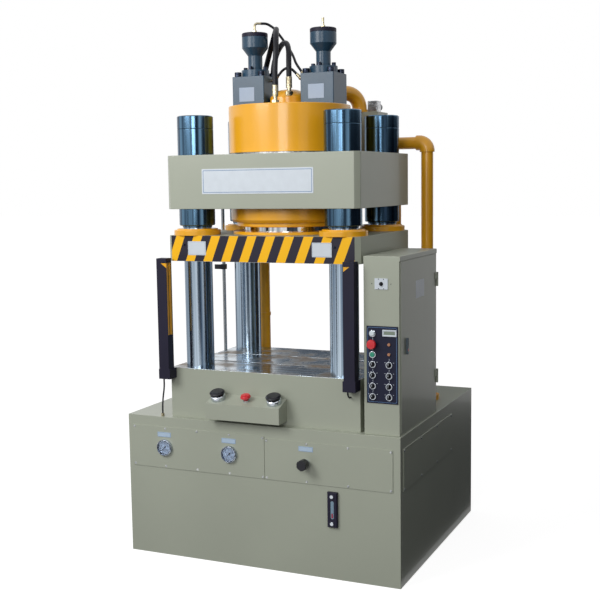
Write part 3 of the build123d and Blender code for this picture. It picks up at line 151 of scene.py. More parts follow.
# %% Maths, noise and masks
def maths(tree, operation, *values, clamp=False):
    """A Math node whose inputs are sockets or plain numbers."""
    node = add_node(tree, "ShaderNodeMath", {"operation": operation, "use_clamp": clamp})
    for socket, value in zip(node.inputs, values):
        feed(tree, socket, value)
    return node.outputs[0]


def object_place(tree):
    """A point's place on its object, which is the place on the press at rest."""
    return add_node(tree, "ShaderNodeTexCoord").outputs["Object"]


def noise(tree, place, scale, detail, roughness=0.5):
    """A noise texture read at a place."""
    node = add_node(
        tree, "ShaderNodeTexNoise", Vector=place, Scale=scale, Detail=detail, Roughness=roughness
    )
    return node.outputs["Fac"]


def above(tree, value, threshold, sharpness):
    """A mask that rises from 0 to 1 where a value passes a threshold."""
    over = maths(tree, "SUBTRACT", value, threshold)
    return maths(tree, "MULTIPLY", over, sharpness, clamp=True)


print("mask helpers:", noise.__name__, above.__name__)

# %% [markdown]
# ### Sprayed coat
# Sprayed enamel dries a little lighter and darker in wide clouds, with a skin like an orange's, and it
# goes dull where hands and tools rub it. A picture of real paint could show this, but each plate would
# need unwrapping. Noise that reads the place on the press needs none, and keeps one scale everywhere.

# %% Sprayed coat: clouds of tone, orange peel and rubbed spots
spray, spray_in, spray_out = new_group(
    "sprayed_coat", "ShaderNodeTree",
    {"Cloud Scale": 3.0, "Peel Scale": 260.0, "Rub Scale": 9.0, "Rub Level": 0.7},
    {"Tone": "Float", "Peel": "Float", "Rubbed": "Float"},
)
spray_place = object_place(spray)
clouds = noise(spray, spray_place, spray_in["Cloud Scale"], 5.0)
rub_patches = noise(spray, spray_place, spray_in["Rub Scale"], 8.0, 0.7)
feed(spray, spray_out["Tone"], above(spray, clouds, 0.3, 2.5))
feed(spray, spray_out["Peel"], noise(spray, spray_place, spray_in["Peel Scale"], 1.0))
feed(spray, spray_out["Rubbed"], above(spray, rub_patches, spray_in["Rub Level"], 9.0))
print("group:", spray.name)

# %% [markdown]
# ### Worked steel
# A lathe or a grinder leaves fine lines that run one way, and the light stretches across them. Cut as
# geometry they would cost millions of faces. A noise that is fine across the lines and coarse along
# them gives both the streaks of tone and the height for a bump, and its scales say which way they run.
# The streaks of tone are partly the lines' own colour and partly painted reflection: light and dark
# bands that stand for what polished metal mirrors along its lines.

# %% Worked steel: hair lines that run along one axis, with painted reflection streaks, and stains
worked, worked_in, worked_out = new_group(
    "worked_steel", "ShaderNodeTree",
    {"Lines X": 4.0, "Lines Y": 400.0, "Lines Z": 400.0, "Stain Scale": 6.0, "Stain Level": 0.55},
    {"Lines": "Float", "Streaks": "Float", "Stain": "Float"},
)
worked_place = object_place(worked)
line_scales = add_node(
    worked, "ShaderNodeCombineXYZ", X=worked_in["Lines X"], Y=worked_in["Lines Y"], Z=worked_in["Lines Z"]
)
line_stretch = add_node(worked, "ShaderNodeVectorMath", {"operation": "MULTIPLY"})
feed(worked, line_stretch.inputs[0], worked_place)
feed(worked, line_stretch.inputs[1], line_scales.outputs[0])
line_place = line_stretch.outputs[0]
stain_patches = noise(worked, worked_place, worked_in["Stain Scale"], 7.0, 0.65)
feed(worked, worked_out["Lines"], noise(worked, line_place, 1.0, 3.0))
# Streaks And Sheen: bands of tone along the lines, partly real polish lines and partly painted reflection
feed(worked, worked_out["Streaks"], above(worked, noise(worked, line_place, 0.35, 2.0), 0.36, 3.6))
feed(worked, worked_out["Stain"], above(worked, stain_patches, worked_in["Stain Level"], 7.0))
print("group:", worked.name)

# %% [markdown]
# ### A finish and its shader
# A finish is one material with one shader. What never changes over the surface, such as metallic, is a
# plain number, and only the rest comes through nodes. Colours are written as a picture shows them, 0 to
# 255, and made linear here, because a shader reckons in linear light. Finishes are kept by their names.

# %% Colours, finishes and what feeds a shader
finishes = {}


def srgb(red, green, blue):
    """A colour as read off a picture, 0 to 255, made linear for a shader."""
    def linear(value):
        value = value / 255
        return value / 12.92 if value <= 0.04045 else ((value + 0.055) / 1.055) ** 2.4
    return (linear(red), linear(green), linear(blue), 1.0)


def shade(colour, share):
    """The same colour, darker or lighter."""
    return (*(min(1.0, part * share) for part in colour[:3]), 1.0)


def new_material(name, colour, roughness, metallic=0.0, coat=0.0, mirror=0.5):
    """The node tree and the shader of a new finish, with the shader's plain numbers set."""
    material = bpy.data.materials.new(name)
    material.use_nodes = True
    shader = material.node_tree.nodes["Principled BSDF"]
    numbers = {
        "Base Color": colour, "Roughness": roughness, "Metallic": metallic, "Coat Weight": coat,
        "Coat Roughness": 0.08, "Specular IOR Level": mirror,
    }
    for label, value in numbers.items():
        shader.inputs[label].default_value = value
    finishes[name] = material
    return material.node_tree, shader


def blend_colours(tree, factor, low, high):
    """A colour between two, by a factor."""
    mix = add_node(tree, "ShaderNodeMix", {"data_type": "RGBA"}, Factor=factor)
    ends = [socket for socket in mix.inputs if socket.type == "RGBA"]
    feed(tree, ends[0], low)
    feed(tree, ends[1], high)
    return next(socket for socket in mix.outputs if socket.type == "RGBA")


def feed_shader(tree, shader, colour, roughness, height, strength, distance):
    """Feeds a shader's colour and roughness, and a bump from a height into its normal."""
    bump = add_node(tree, "ShaderNodeBump", Strength=strength, Distance=distance, Height=height)
    feed(tree, shader.inputs["Base Color"], colour)
    feed(tree, shader.inputs["Roughness"], roughness)
    feed(tree, shader.inputs["Normal"], bump.outputs["Normal"])


print("half grey in linear light:", round(srgb(128, 128, 128)[0], 3))

# %% [markdown]
# ## Paints
# The plates, the base and the cabinet share one grey-khaki paint, in a half gloss. The cylinder and the
# pipes are a glossy orange-yellow, the valve blocks a blue-grey, and the light guards and the panel
# black. They could be six materials made by hand. They differ only in colour, gloss, clouds and peel,
# so one function and a table make them all.

# %% Paints
RUBBED_TONE, RUBBED_ROUGHER, PEEL_STRENGTH, PEEL_HEIGHT = 0.8, 0.2, 0.3, 0.0003


def painted(name, colour, roughness, coat, spread, cloud, peel, mirror, rub=0.72):
    """A sprayed paint: clouds in its tone, orange peel, and dull rubbed spots."""
    tree, shader = new_material(name, colour, roughness, coat=coat, mirror=mirror)
    layer = add_node(
        tree, "ShaderNodeGroup", {"node_tree": spray}, Cloud_Scale=cloud, Peel_Scale=peel, Rub_Level=rub
    ).outputs
    clean = blend_colours(tree, layer["Tone"], shade(colour, 1 - spread), shade(colour, 1 + spread))
    tone = blend_colours(tree, layer["Rubbed"], clean, shade(colour, RUBBED_TONE))
    rough = maths(tree, "MULTIPLY_ADD", layer["Rubbed"], RUBBED_ROUGHER, roughness)
    feed_shader(tree, shader, tone, rough, layer["Peel"], PEEL_STRENGTH, PEEL_HEIGHT)


KHAKI = (163, 168, 153)
for name, colour, roughness, coat, spread, cloud, peel, mirror in (
    ("khaki_paint", KHAKI, 0.36, 0.15, 0.06, 1.6, 240, 0.5),
    ("yellow_paint", (238, 170, 26), 0.3, 0.3, 0.06, 4, 150, 0.5),
    ("blue_grey_paint", (38, 68, 90), 0.34, 0.1, 0.12, 9, 260, 0.36),
    ("guard_black", (27, 25, 44), 0.5, 0, 0.15, 8, 400, 0.22),
    ("panel_black", (24, 27, 48), 0.45, 0, 0.06, 20, 900, 0.22),
    ("cast_housing", (86, 98, 108), 0.5, 0, 0.1, 8, 180, 0.5),
):
    painted(name, srgb(*colour), roughness, coat, spread, cloud, peel, mirror)
print("paints:", *finishes)

# %% [markdown]
# ## Metals
# The columns and the ram are hard chrome, polished along their length, and show fine upright streaks. The
# streaks are painted reflection: dark blue-grey and light bands in the colour stand for a room mirrored
# in the chrome, over its real polish lines. The nuts are blued steel: nearly black, but they shine, and
# their streaks are painted reflection too. The table is ground steel with brown stains, where dies and oil
# lay on it. A metal of one tone would look like foil, so each blends a dark and a light one along its
# lines, which paints in part of its reflection. All are one function with other colours and another run of
# the lines.

# %% Metals
UPRIGHT, ALONG_X, EVERY_WAY = (190, 190, 1.5), (3, 240, 3), (300, 300, 300)
LINE_STRENGTH, LINE_HEIGHT, STAIN_ROUGHER = 0.15, 0.0001, 0.22


def worked_metal(name, dark, light, roughness, lines, stain=None, stain_level=0.55):
    """A metal between a dark and a light tone (partly painted reflection) along its hair lines, with any
    stains.
    """
    tree, shader = new_material(name, light, roughness, metallic=1.0)
    layer = add_node(
        tree, "ShaderNodeGroup", {"node_tree": worked},
        Lines_X=lines[0], Lines_Y=lines[1], Lines_Z=lines[2], Stain_Level=stain_level,
    ).outputs
    # painted reflection: the dark and the light tone blend along the streaks
    tone = blend_colours(tree, layer["Streaks"], dark, light)
    rough = maths(tree, "MULTIPLY_ADD", layer["Lines"], roughness * 0.8, roughness * 0.6)
    if stain:
        tone = blend_colours(tree, layer["Stain"], tone, stain)
        rough = maths(tree, "MULTIPLY_ADD", layer["Stain"], STAIN_ROUGHER, rough)
    feed_shader(tree, shader, tone, rough, layer["Lines"], LINE_STRENGTH, LINE_HEIGHT)


# On the chromes and the blued steel, the dark tone is painted reflection of a dark room and the light one
# painted highlight
for name, dark, light, roughness, lines in (
    ("hard_chrome", (84, 108, 134), (204, 221, 236), 0.16, UPRIGHT),
    ("ram_chrome", (150, 158, 164), (232, 234, 236), 0.06, UPRIGHT),
    ("blued_steel", (38, 56, 76), (96, 130, 156), 0.2, UPRIGHT),
    ("rod_steel", (150, 154, 158), (204, 208, 212), 0.25, UPRIGHT),
    ("black_steel", (24, 28, 38), (52, 58, 72), 0.3, EVERY_WAY),
    ("machined_steel", (150, 154, 158), (200, 202, 202), 0.3, EVERY_WAY),
    ("bronze", (164, 116, 62), (196, 148, 88), 0.3, EVERY_WAY),
    ("small_chrome", (184, 190, 198), (214, 220, 228), 0.16, EVERY_WAY),
    ("bezel_steel", (130, 140, 156), (204, 212, 224), 0.16, EVERY_WAY),
    ("zinc_plate", (146, 136, 110), (196, 186, 158), 0.28, EVERY_WAY),
    ("gauge_alloy", (150, 152, 154), (204, 206, 208), 0.25, EVERY_WAY),
):
    worked_metal(name, srgb(*dark), srgb(*light), roughness, lines)
worked_metal(
    "table_steel", srgb(144, 154, 162), srgb(206, 218, 228), 0.2, ALONG_X,
    stain=srgb(124, 112, 100), stain_level=0.45,
)
print("finishes:", len(finishes))

# %% [markdown]
# ## Rubber, plastics, print and glass
# Moulded plastic has one colour and a very fine grain, and a printed plate is a smooth paint. They could
# have a shader of their own, but the sprayed coat with faint clouds and hardly a rubbed spot does as
# well. The gauge glasses are clear, so they are the one finish with transmission, and they bend light
# only a little, so that the dials behind them stay straight.


# %% Rubber, plastics, print and glass
def moulded(name, colour, roughness, coat, mirror=0.5, grain=900.0):
    """Moulded plastic or print: one colour with a fine grain and no rubbed spots."""
    painted(name, colour, roughness, coat, spread=0.03, cloud=30.0, peel=grain, mirror=mirror, rub=0.95)


moulded("hose_rubber", srgb(14, 15, 24), 0.42, 0, mirror=0.3, grain=700.0)
moulded("black_plastic", srgb(13, 14, 24), 0.28, 0.2, mirror=0.3)
for name, colour, roughness, coat in (
    ("red_plastic", (206, 34, 44), 0.25, 0.3),
    ("float_red", (140, 50, 72), 0.3, 0),
    ("green_plastic", (26, 142, 112), 0.25, 0.3),
    ("device_grey", (176, 178, 174), 0.45, 0),
    ("lens_white", (214, 226, 232), 0.2, 0.4),
    ("lens_amber", (172, 118, 84), 0.25, 0.4),
    ("print_white", (206, 214, 222), 0.35, 0),
    ("print_silver", (138, 156, 180), 0.35, 0),
    ("print_blue", (92, 126, 168), 0.35, 0),
    ("print_sky", (176, 196, 216), 0.35, 0),
    ("print_black", (26, 28, 34), 0.4, 0),
    ("dial_face", (134, 152, 178), 0.4, 0),
    ("window_grey", (112, 142, 164), 0.15, 0.6),
    ("display_green", (120, 134, 118), 0.2, 0.6),
):
    moulded(name, srgb(*colour), roughness, coat)
_, glass_shader = new_material("clear_glass", (1, 1, 1, 1), 0.02)
glass_shader.inputs["Transmission Weight"].default_value = 1.0
glass_shader.inputs["IOR"].default_value = 1.2
print("finishes:", len(finishes))

# %% [markdown]
# ## Hazard tape
# The slide's front is taped in yellow and black. The stripes could be thin meshes on the plate, but tape
# has hardly a thickness, so maths in the paint is enough. The stripes lean, so a point's place across
# the front, less its height, decides its colour. The tape is on the front face only, so a mask asks how
# far forward the point is. The rest of the slide is the khaki paint.

# %% Taped slide paint
slide_low, slide_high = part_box("slide")
STRIPE_PERIOD, STRIPE_START, YELLOW_SHARE = 0.084, -0.083, 0.49
STRIPE_LEAN = 0.042 / (slide_high.z - slide_low.z)
PERIODS_BEFORE = 20
TAPE_REACH, TAPE_ROUGHNESS = 0.0006, 0.4

khaki = srgb(*KHAKI)
tape, tape_shader = new_material("taped_paint", khaki, TAPE_ROUGHNESS, mirror=0.3)
tape_place = add_node(tape, "ShaderNodeSeparateXYZ", Vector=object_place(tape)).outputs
drop = maths(tape, "MULTIPLY_ADD", tape_place["Z"], -STRIPE_LEAN, slide_low.z * STRIPE_LEAN)
across = maths(tape, "ADD", tape_place["X"], drop)
first_stripe = PERIODS_BEFORE - STRIPE_START / STRIPE_PERIOD
turns = maths(tape, "MULTIPLY_ADD", across, 1 / STRIPE_PERIOD, first_stripe)
black_mask = maths(tape, "GREATER_THAN", maths(tape, "FRACT", turns), YELLOW_SHARE)
front_mask = maths(tape, "LESS_THAN", tape_place["Y"], slide_low.y + TAPE_REACH)
tape_layer = add_node(
    tape, "ShaderNodeGroup", {"node_tree": spray}, Cloud_Scale=1.6, Peel_Scale=240.0, Rub_Level=0.66
).outputs
khaki_tone = blend_colours(tape, tape_layer["Tone"], shade(khaki, 0.94), shade(khaki, 1.06))
tape_tone = blend_colours(tape, black_mask, srgb(250, 188, 22), srgb(29, 26, 42))
tape_worn = blend_colours(tape, tape_layer["Rubbed"], tape_tone, srgb(112, 96, 70))
slide_tone = blend_colours(tape, front_mask, khaki_tone, tape_worn)
feed_shader(tape, tape_shader, slide_tone, TAPE_ROUGHNESS, tape_layer["Peel"], 0.25, 0.0002)
print("stripe lean:", round(STRIPE_LEAN, 3))

# %% [markdown]
# ## Dressing the solids
# A solid from the frame has knife-sharp edges. Real plates are broken at the edge, and the thin line of
# light there is what makes them read as heavy. The solids could have been made that way, but a bevel on
# a copy leaves the measured ones alone. So each solid is copied, its loose triangles are merged, its
# sharp edges get a narrow bevel, and its round faces shade smooth.

# %% Merge, change and soften a mesh
MERGE_REACH, FLAT_TURN, SHARP_TURN = 1e-5, radians(0.3), radians(30)


def merged(mesh):
    """Joins a copied solid's loose triangles and drops the lines across its flat faces."""
    work = bmesh.new()
    work.from_mesh(mesh)
    bmesh.ops.remove_doubles(work, verts=work.verts, dist=MERGE_REACH)
    bmesh.ops.dissolve_limit(work, angle_limit=FLAT_TURN, verts=work.verts, edges=work.edges)
    work.to_mesh(mesh)
    work.free()
    return mesh


def plain_mesh(maker):
    """What an object shows, as a plain mesh. The object and its modifiers are removed."""
    made = bpy.data.meshes.new_from_object(maker.evaluated_get(bpy.context.evaluated_depsgraph_get()))
    maker.modifiers.clear()
    bpy.data.objects.remove(maker)
    return made


def changed(mesh, kind, **settings):
    """What one modifier makes of a mesh."""
    maker = new_object("maker", mesh)
    modifier = maker.modifiers.new(kind.lower(), kind)
    for name, value in settings.items():
        setattr(modifier, name, value)
    return plain_mesh(maker)


def soften(mesh, edge):
    """Bevels a mesh's sharp edges, smooths its round faces and keeps its flat faces flat."""
    if edge:
        mesh = changed(
            mesh, "BEVEL", width=edge, segments=2, limit_method="ANGLE", angle_limit=SHARP_TURN
        )
    mesh.shade_smooth()
    mesh.set_sharp_from_angle(angle=SHARP_TURN)
    return changed(mesh, "WEIGHTED_NORMAL", keep_sharp=True)


print("an edge is sharp from a turn of:", round(SHARP_TURN, 3))

# %% [markdown]
# ### Pieces and their finishes
# A dressed copy stands for its solid and rides on the same body, so it moves with it. Many parts have
# two finishes: a painted plate is bare where it was ground. Cut into pieces by finish, it would show
# seams. So a rule on a face's place and direction picks the faces that get another finish.


# %% Pieces and their finishes
def body_of(node):
    """The body that a solid rides on."""
    return nodes[node]["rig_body"]


def add_piece(name, mesh, body, node=None):
    """A finished mesh as a piece that rides on a body, and stands for a node where one is given."""
    piece = new_object(name, mesh)
    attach(piece, body)
    if node:
        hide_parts(node)


def finished(mesh, finish):
    """A mesh with one finish all over."""
    mesh.materials.clear()
    mesh.materials.append(finishes[finish])
    for face in mesh.polygons:
        face.material_index = 0
    return mesh


def dress(node, finish, edge=0.0015):
    """A softened copy of a solid in one finish, standing for it."""
    mesh = finished(soften(merged(nodes[node].data.copy()), edge), finish)
    add_piece(node + "_dressed", mesh, body_of(node), node=node)


def dressed_mesh(node):
    """The mesh of a dressed solid."""
    return bpy.data.objects[node + "_dressed"].data


def repaint_faces(node, finish, faces):
    """Gives another finish to some faces of a dressed solid."""
    materials = dressed_mesh(node).materials
    materials.append(finishes[finish])
    for face in faces:
        face.material_index = len(materials) - 1
    print(f"{node}: {len(faces)} faces in {finish}")


def repaint(node, finish, rule):
    """Gives another finish to the faces whose middle and normal the rule accepts."""
    chosen = [face for face in dressed_mesh(node).polygons if rule(face.center, face.normal)]
    repaint_faces(node, finish, chosen)


print("bodies:", len({body_of(node) for node in nodes}))

# %% [markdown]
# ### The solids within a node
# One node may hold many small solids, such as all the lamps of the panel. They could be told by number,
# but numbers change when a part is rebuilt. Faces that share an edge belong together, so the solids are
# found from the mesh itself, and told apart by their size and place.


# %% Find the separate solids of a mesh
def loose_solids(mesh):
    """The separate solids of a mesh, each as its faces and its lowest and highest corner."""
    parent = list(range(len(mesh.vertices)))

    def root(vertex):
        while parent[vertex] != vertex:
            parent[vertex] = parent[parent[vertex]]
            vertex = parent[vertex]
        return vertex

    for edge in mesh.edges:
        first, second = edge.vertices
        parent[root(first)] = root(second)
    groups = {}
    for face in mesh.polygons:
        groups.setdefault(root(face.vertices[0]), []).append(face)
    solids = []
    for faces in groups.values():
        points = [mesh.vertices[number].co for face in faces for number in face.vertices]
        low = Vector([min(point[axis] for point in points) for axis in range(3)])
        high = Vector([max(point[axis] for point in points) for axis in range(3)])
        solids.append((faces, low, high))
    return solids


def repaint_solids(node, finish, rule):
    """Gives another finish to whole solids of a node, chosen by their lowest and highest corner."""
    solids = [faces for faces, low, high in loose_solids(dressed_mesh(node)) if rule(low, high)]
    repaint_faces(node, finish, [face for faces in solids for face in faces])


def spots_of(node):
    """The lowest and highest corner of each separate solid in a node, in order of place."""
    mesh = merged(nodes[node].data.copy())
    corners = [(low, high) for faces, low, high in loose_solids(mesh)]
    return sorted(corners, key=lambda pair: tuple(round(value, 3) for value in pair[0]))


def middle_of(node):
    """The middle of a node's box."""
    return sum(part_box(node), Vector()) / 2


print("column nuts:", len(spots_of("column_nuts")))

# %% [markdown]
# ## Press frame
# Bed, slide and crown are flame-cut plates, planed on the faces and painted. The top of the bed, the
# inside of its T-slots and the slide's underside stay bare steel, because dies are clamped there. The
# solids have the right shape already, so each only gets its finish and the width of its broken edge,
# from less than a millimetre on thin sheet to two and a half on the base.

# %% Plates, columns and nuts
dress("base_cabinet", "khaki_paint", 0.0025)
dress("cover_plates", "khaki_paint", 0.0008)
dress("bed", "khaki_paint")
bed_low, bed_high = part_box("bed")
SLOT_DEPTH, SLOT_END, BED_EDGE, SLIDE_EDGE = 0.026, 0.05, 0.0012, 0.0008


def on_bed_steel(centre, normal):
    """Whether a face is the bed's ground top or the inside of a T-slot."""
    in_slot = centre.z > bed_high.z - SLOT_DEPTH and abs(normal.x) < 0.5
    inside = abs(centre.y - bed_low.y) > SLOT_END and abs(centre.y - bed_high.y) > SLOT_END
    return centre.z > bed_high.z - BED_EDGE or (in_slot and inside)


repaint("bed", "table_steel", on_bed_steel)
dress("crown", "khaki_paint", 0.002)
dress("slide", "taped_paint", 0.0012)
repaint("slide", "machined_steel", lambda c, n: c.z < slide_low.z + SLIDE_EDGE)
dress("columns", "hard_chrome", 0)
dress("column_nuts", "blued_steel", 0.0012)
repaint("column_nuts", "black_steel", lambda c, n: abs(n.z) > 0.9)
dress("guide_bushes", "bronze", 0)
dress("guide_flanges", "yellow_paint", 0.001)
dress("ram", "ram_chrome", 0)
dress("ram_flange", "yellow_paint", 0.001)

# %% [markdown]
# ## Cylinder and valve gear
# The barrel hangs in the crown by its flange, and a ring nut holds it from below. The relieved neck over
# the crown is left as machined. The valve caps are black, and the solenoid valve has black coils. A
# second finish could come from a mask in the material, but here it always ends at an edge of the part,
# so a rule on height or depth picks whole faces.

# %% Cylinder, valves and pipes
NECK_H, CAP_LINE, COIL_REACH, COVER_DEPTH = 0.0079, 0.171, 0.0395, 0.0029
dress("cylinder", "yellow_paint", 0.0012)
neck_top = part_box("crown")[1].z + NECK_H
repaint("cylinder", "machined_steel", lambda c, n: c.z < neck_top)
dress("cylinder_nut", "yellow_paint", 0.0012)
dress("gland_ring", "yellow_paint", 0.001)
dress("filling_valve", "yellow_paint", 0.001)
dress("valve_blocks", "blue_grey_paint", 0.0012)
dress("valve_bonnets", "blue_grey_paint", 0.0008)
cap_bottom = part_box("valve_bonnets")[0].z + CAP_LINE
repaint("valve_bonnets", "guard_black", lambda c, n: c.z > cap_bottom)
dress("rear_manifold", "khaki_paint")
dress("solenoid_valve", "gauge_alloy", 0.0006)
solenoid_low, solenoid_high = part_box("solenoid_valve")
repaint("solenoid_valve", "black_plastic", lambda c, n: c.y > solenoid_high.y - COIL_REACH)
repaint("solenoid_valve", "print_black", lambda c, n: c.y < solenoid_low.y + COVER_DEPTH and n.y > -0.5)
dress("filling_pipe", "yellow_paint", 0.001)
dress("oil_pipes", "yellow_paint", 0.0008)
dress("end_fittings", "zinc_plate", 0.0005)
dress("hoses", "hose_rubber", 0)

# %% [markdown]
# ## Base fittings
# On the base stand two gauges in chrome, an oil level gauge and a black knob, and the motor and the pump
# are inside it. A gauge's glass could be a piece of its own, but it is one of the gauge's solids, so a
# rule picks its faces: those in the dial's circle and in front of it.

# %% Base fittings
BEZEL_R, GLASS_R, DIAL_GAP, GLASS_GAP = 0.036, 0.0305, 0.0015, 0.003
dress("gauges", "bezel_steel", 0.0006)
gauge_low, gauge_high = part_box("gauges")
gauge_xs = (gauge_low.x + BEZEL_R, gauge_high.x - BEZEL_R)
gauge_z = middle_of("gauges").z
dial_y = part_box("left_gauge_pointer")[1].y + DIAL_GAP


def on_gauge_glass(centre, normal):
    """Whether a face is a gauge glass: a disc in front of the dial."""
    reach = min(abs(centre.x - x) for x in gauge_xs)
    on_disc = reach ** 2 + (centre.z - gauge_z) ** 2 < GLASS_R ** 2
    return on_disc and centre.y < dial_y - GLASS_GAP and abs(normal.y) > 0.9


repaint("gauges", "clear_glass", on_gauge_glass)
for side in ("left", "right"):
    dress(side + "_gauge_pointer", "print_black", 0)
dress("level_gauge", "guard_black", 0.0008)
level_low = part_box("level_gauge")[0]
WINDOW_H, WINDOW_SINK, WINDOW_SKIN, HEX_REACH, HEX_FRONT = 0.076, 0.002, 0.0004, 0.006, 0.0058
window_middle = middle_of("level_gauge")
window_y = level_low.y + HEX_REACH + WINDOW_SINK
repaint("level_gauge", "window_grey", lambda c, n: n.y < -0.9 and abs(c.y - window_y) < WINDOW_SKIN)
repaint("level_gauge", "small_chrome", lambda c, n: c.y < level_low.y + HEX_FRONT)
dress("pressure_knob", "black_plastic", 0.0008)
dress("motor_frame", "cast_housing", 0.001)
dress("pump_unit", "cast_housing", 0.001)
dress("drive_shaft", "machined_steel", 0.0005)

# %% [markdown]
# ## Electric cabinet
# The cabinet is folded sheet in the khaki paint. Grey and black gear sits behind its door, and a black
# panel is set on its front. Its nodes hold several solids each. Naming faces one by one would be slow, so
# whole solids are painted apart, by their size or by how high they stand.

# %% Cabinet, door, gear and panel
dress("electric_cabinet", "khaki_paint")
dress("cabinet_door", "khaki_paint", 0.0008)
dress("cabinet_hinges", "khaki_paint", 0.0003)
dress("door_handle", "cast_housing", 0.0008)
dress("cabinet_gear", "device_grey", 0.0008)
DEVICE_W, DEVICE_H = 0.06, 0.2
repaint_solids(
    "cabinet_gear", "print_black", lambda low, high: high.x - low.x > DEVICE_W and high.z - low.z < DEVICE_H
)
dress("control_panel", "panel_black", 0.0004)
panel_solids = spots_of("control_panel")
panel_low, panel_high = max(panel_solids, key=lambda pair: pair[1].z - pair[0].z)
switch_low, switch_high = max(panel_solids, key=lambda pair: pair[0].z)
repaint_solids("control_panel", "print_white", lambda low, high: low.z > panel_high.z)
print("panel:", [round(value, 4) for value in (*panel_low, *panel_high)])

# %% [markdown]
# ## Buttons, lamps and knobs
# The controls are chrome collars with coloured caps and black grips, and each button and knob moves by
# itself. Lamps stay where they are, so they share a node with the collars. A lamp's lens is told by how
# far it stands out, the small lamps by their width, and the display by its wide, low shape.

# %% Buttons, lamps and knobs
LAMP_NOSE, SMALL_LAMP_W, DISPLAY_W, DISPLAY_H = 0.0055, 0.0125, 0.05, 0.03
dress("control_fittings", "small_chrome", 0.0005)


def is_display(low, high):
    """Whether a solid on the panel is the display: wide and low."""
    return high.x - low.x > DISPLAY_W and high.z - low.z < DISPLAY_H and low.z > panel_low.z


repaint("control_fittings", "lens_white", lambda c, n: c.y < panel_low.y - LAMP_NOSE and c.z > panel_low.z)
repaint_solids(
    "control_fittings", "lens_amber", lambda low, high: high.x - low.x < SMALL_LAMP_W and low.z > panel_low.z
)
repaint_solids("control_fittings", "print_white", is_display)
display_low, display_high = next(pair for pair in spots_of("control_fittings") if is_display(*pair))
dress("panel_stop_button", "red_plastic", 0.0008)
dress("start_button", "green_plastic", 0.0005)
knob_names = [f"selector_knob_{number}" for number in range(1, 9)]
for name in knob_names:
    dress(name, "black_plastic", 0.0007)
dress("main_switch_knob", "black_plastic", 0.0005)
dress("two_hand_box", "khaki_paint", 0.0012)
for side in ("left", "right"):
    dress(side + "_palm_button", "black_plastic", 0.001)
dress("desk_stop_button", "red_plastic", 0.001)

# %% [markdown]
# ## Light guards, rod and cables
# Each light guard is a black channel with a yellow rail in it, and a dark window runs down the rail. The
# window could be let in as a piece, but it lies flush, so it is another finish on the rail's middle
# faces. The limit switch on the rod is told by its small height.

# %% Light guards, rod and cables
WINDOW_HALF, SWITCH_H = 0.0049, 0.05
dress("curtain_guards", "guard_black", 0.001)
dress("light_curtains", "yellow_paint", 0.0005)
guard_y = middle_of("light_curtains").y
repaint("light_curtains", "print_black", lambda c, n: abs(c.y - guard_y) < WINDOW_HALF and abs(n.z) < 0.5)
dress("stroke_rod", "rod_steel", 0.0006)
repaint_solids("stroke_rod", "black_plastic", lambda low, high: high.z - low.z < SWITCH_H)
dress("curtain_cables", "hose_rubber", 0)

# %% [markdown]
# ## Screws and bolts
# The press has dozens of screws of a few kinds. Copied by hand, each would have to be mended by hand. A
# geometry-node tree makes them from points instead, so one number changes them all. Each point carries
# its screw's size and the way it faces.


# %% Points, trees and what a tree makes
def point_cloud(name, spots):
    """A mesh of bare points, each with the size and the direction of what stands there."""
    mesh = bpy.data.meshes.new(name)
    mesh.from_pydata([place for place, size, facing in spots], [], [])
    sizes = mesh.attributes.new("size", "FLOAT_VECTOR", "POINT")
    facings = mesh.attributes.new("facing", "FLOAT_VECTOR", "POINT")
    for number, (place, size, facing) in enumerate(spots):
        sizes.data[number].vector = size
        facings.data[number].vector = facing
    return mesh


def new_maker(name, **inputs):
    """A geometry-node tree that makes a mesh in one finish, with its other named inputs."""
    kinds = {label.replace("_", " "): kind for label, kind in inputs.items()}
    return new_group(
        name, "GeometryNodeTree", {"Geometry": "Geometry", **kinds, "Finish": "Material"},
        {"Geometry": "Geometry"},
    )


def run_tree(tree, mesh, finish, **values):
    """The plain mesh that a tree makes of a mesh in a finish, with its other named inputs set."""
    values["Finish"] = finishes[finish]
    maker = new_object("maker", mesh)
    modifier = maker.modifiers.new(tree.name, "NODES")
    modifier.node_group = tree
    for item in tree.interface.items_tree:
        value = values.get(item.name.replace(" ", "_"))
        if item.in_out == "INPUT" and value is not None:
            modifier[item.identifier] = value
    return finished(plain_mesh(maker), finish)


print("tree helpers:", point_cloud.__name__, new_maker.__name__, run_tree.__name__)

# %% [markdown]
# ### Shapes inside a tree
# Heads, sockets and slots are drums and bars that are cut from each other. A head that was cut by hand
# could not change its sides or its depth any more. As nodes, each shape is one line, and the tree's
# named inputs feed its sizes.


# %% Shapes and how they repeat
def attribute(tree, name):
    """A named vector attribute of the points."""
    node = add_node(tree, "GeometryNodeInputNamedAttribute", {"data_type": "FLOAT_VECTOR"}, Name=name)
    return next(socket for socket in node.outputs if socket.enabled and socket.type == "VECTOR")


def turned_to(tree, axis, direction):
    """The turn that points one axis of a shape along a direction."""
    node = add_node(tree, "FunctionNodeAlignRotationToVector", {"axis": axis}, Vector=direction)
    return node.outputs["Rotation"]


def repeat_shape(tree, points, shape, turn, size, finish, out):
    """Repeats a shape on the points, turned and sized, as one real mesh in one finish."""
    repeat = add_node(
        tree, "GeometryNodeInstanceOnPoints", Points=points, Instance=shape, Rotation=turn, Scale=size
    )
    real = add_node(tree, "GeometryNodeRealizeInstances", Geometry=repeat.outputs["Instances"])
    coated = add_node(
        tree, "GeometryNodeSetMaterial", Geometry=real.outputs["Geometry"], Material=finish
    )
    feed(tree, out["Geometry"], coated.outputs["Geometry"])


def moved(tree, shape, lift):
    """A shape at a height."""
    return add_node(tree, "GeometryNodeTransform", Geometry=shape, Translation=(0, 0, lift)).outputs[0]


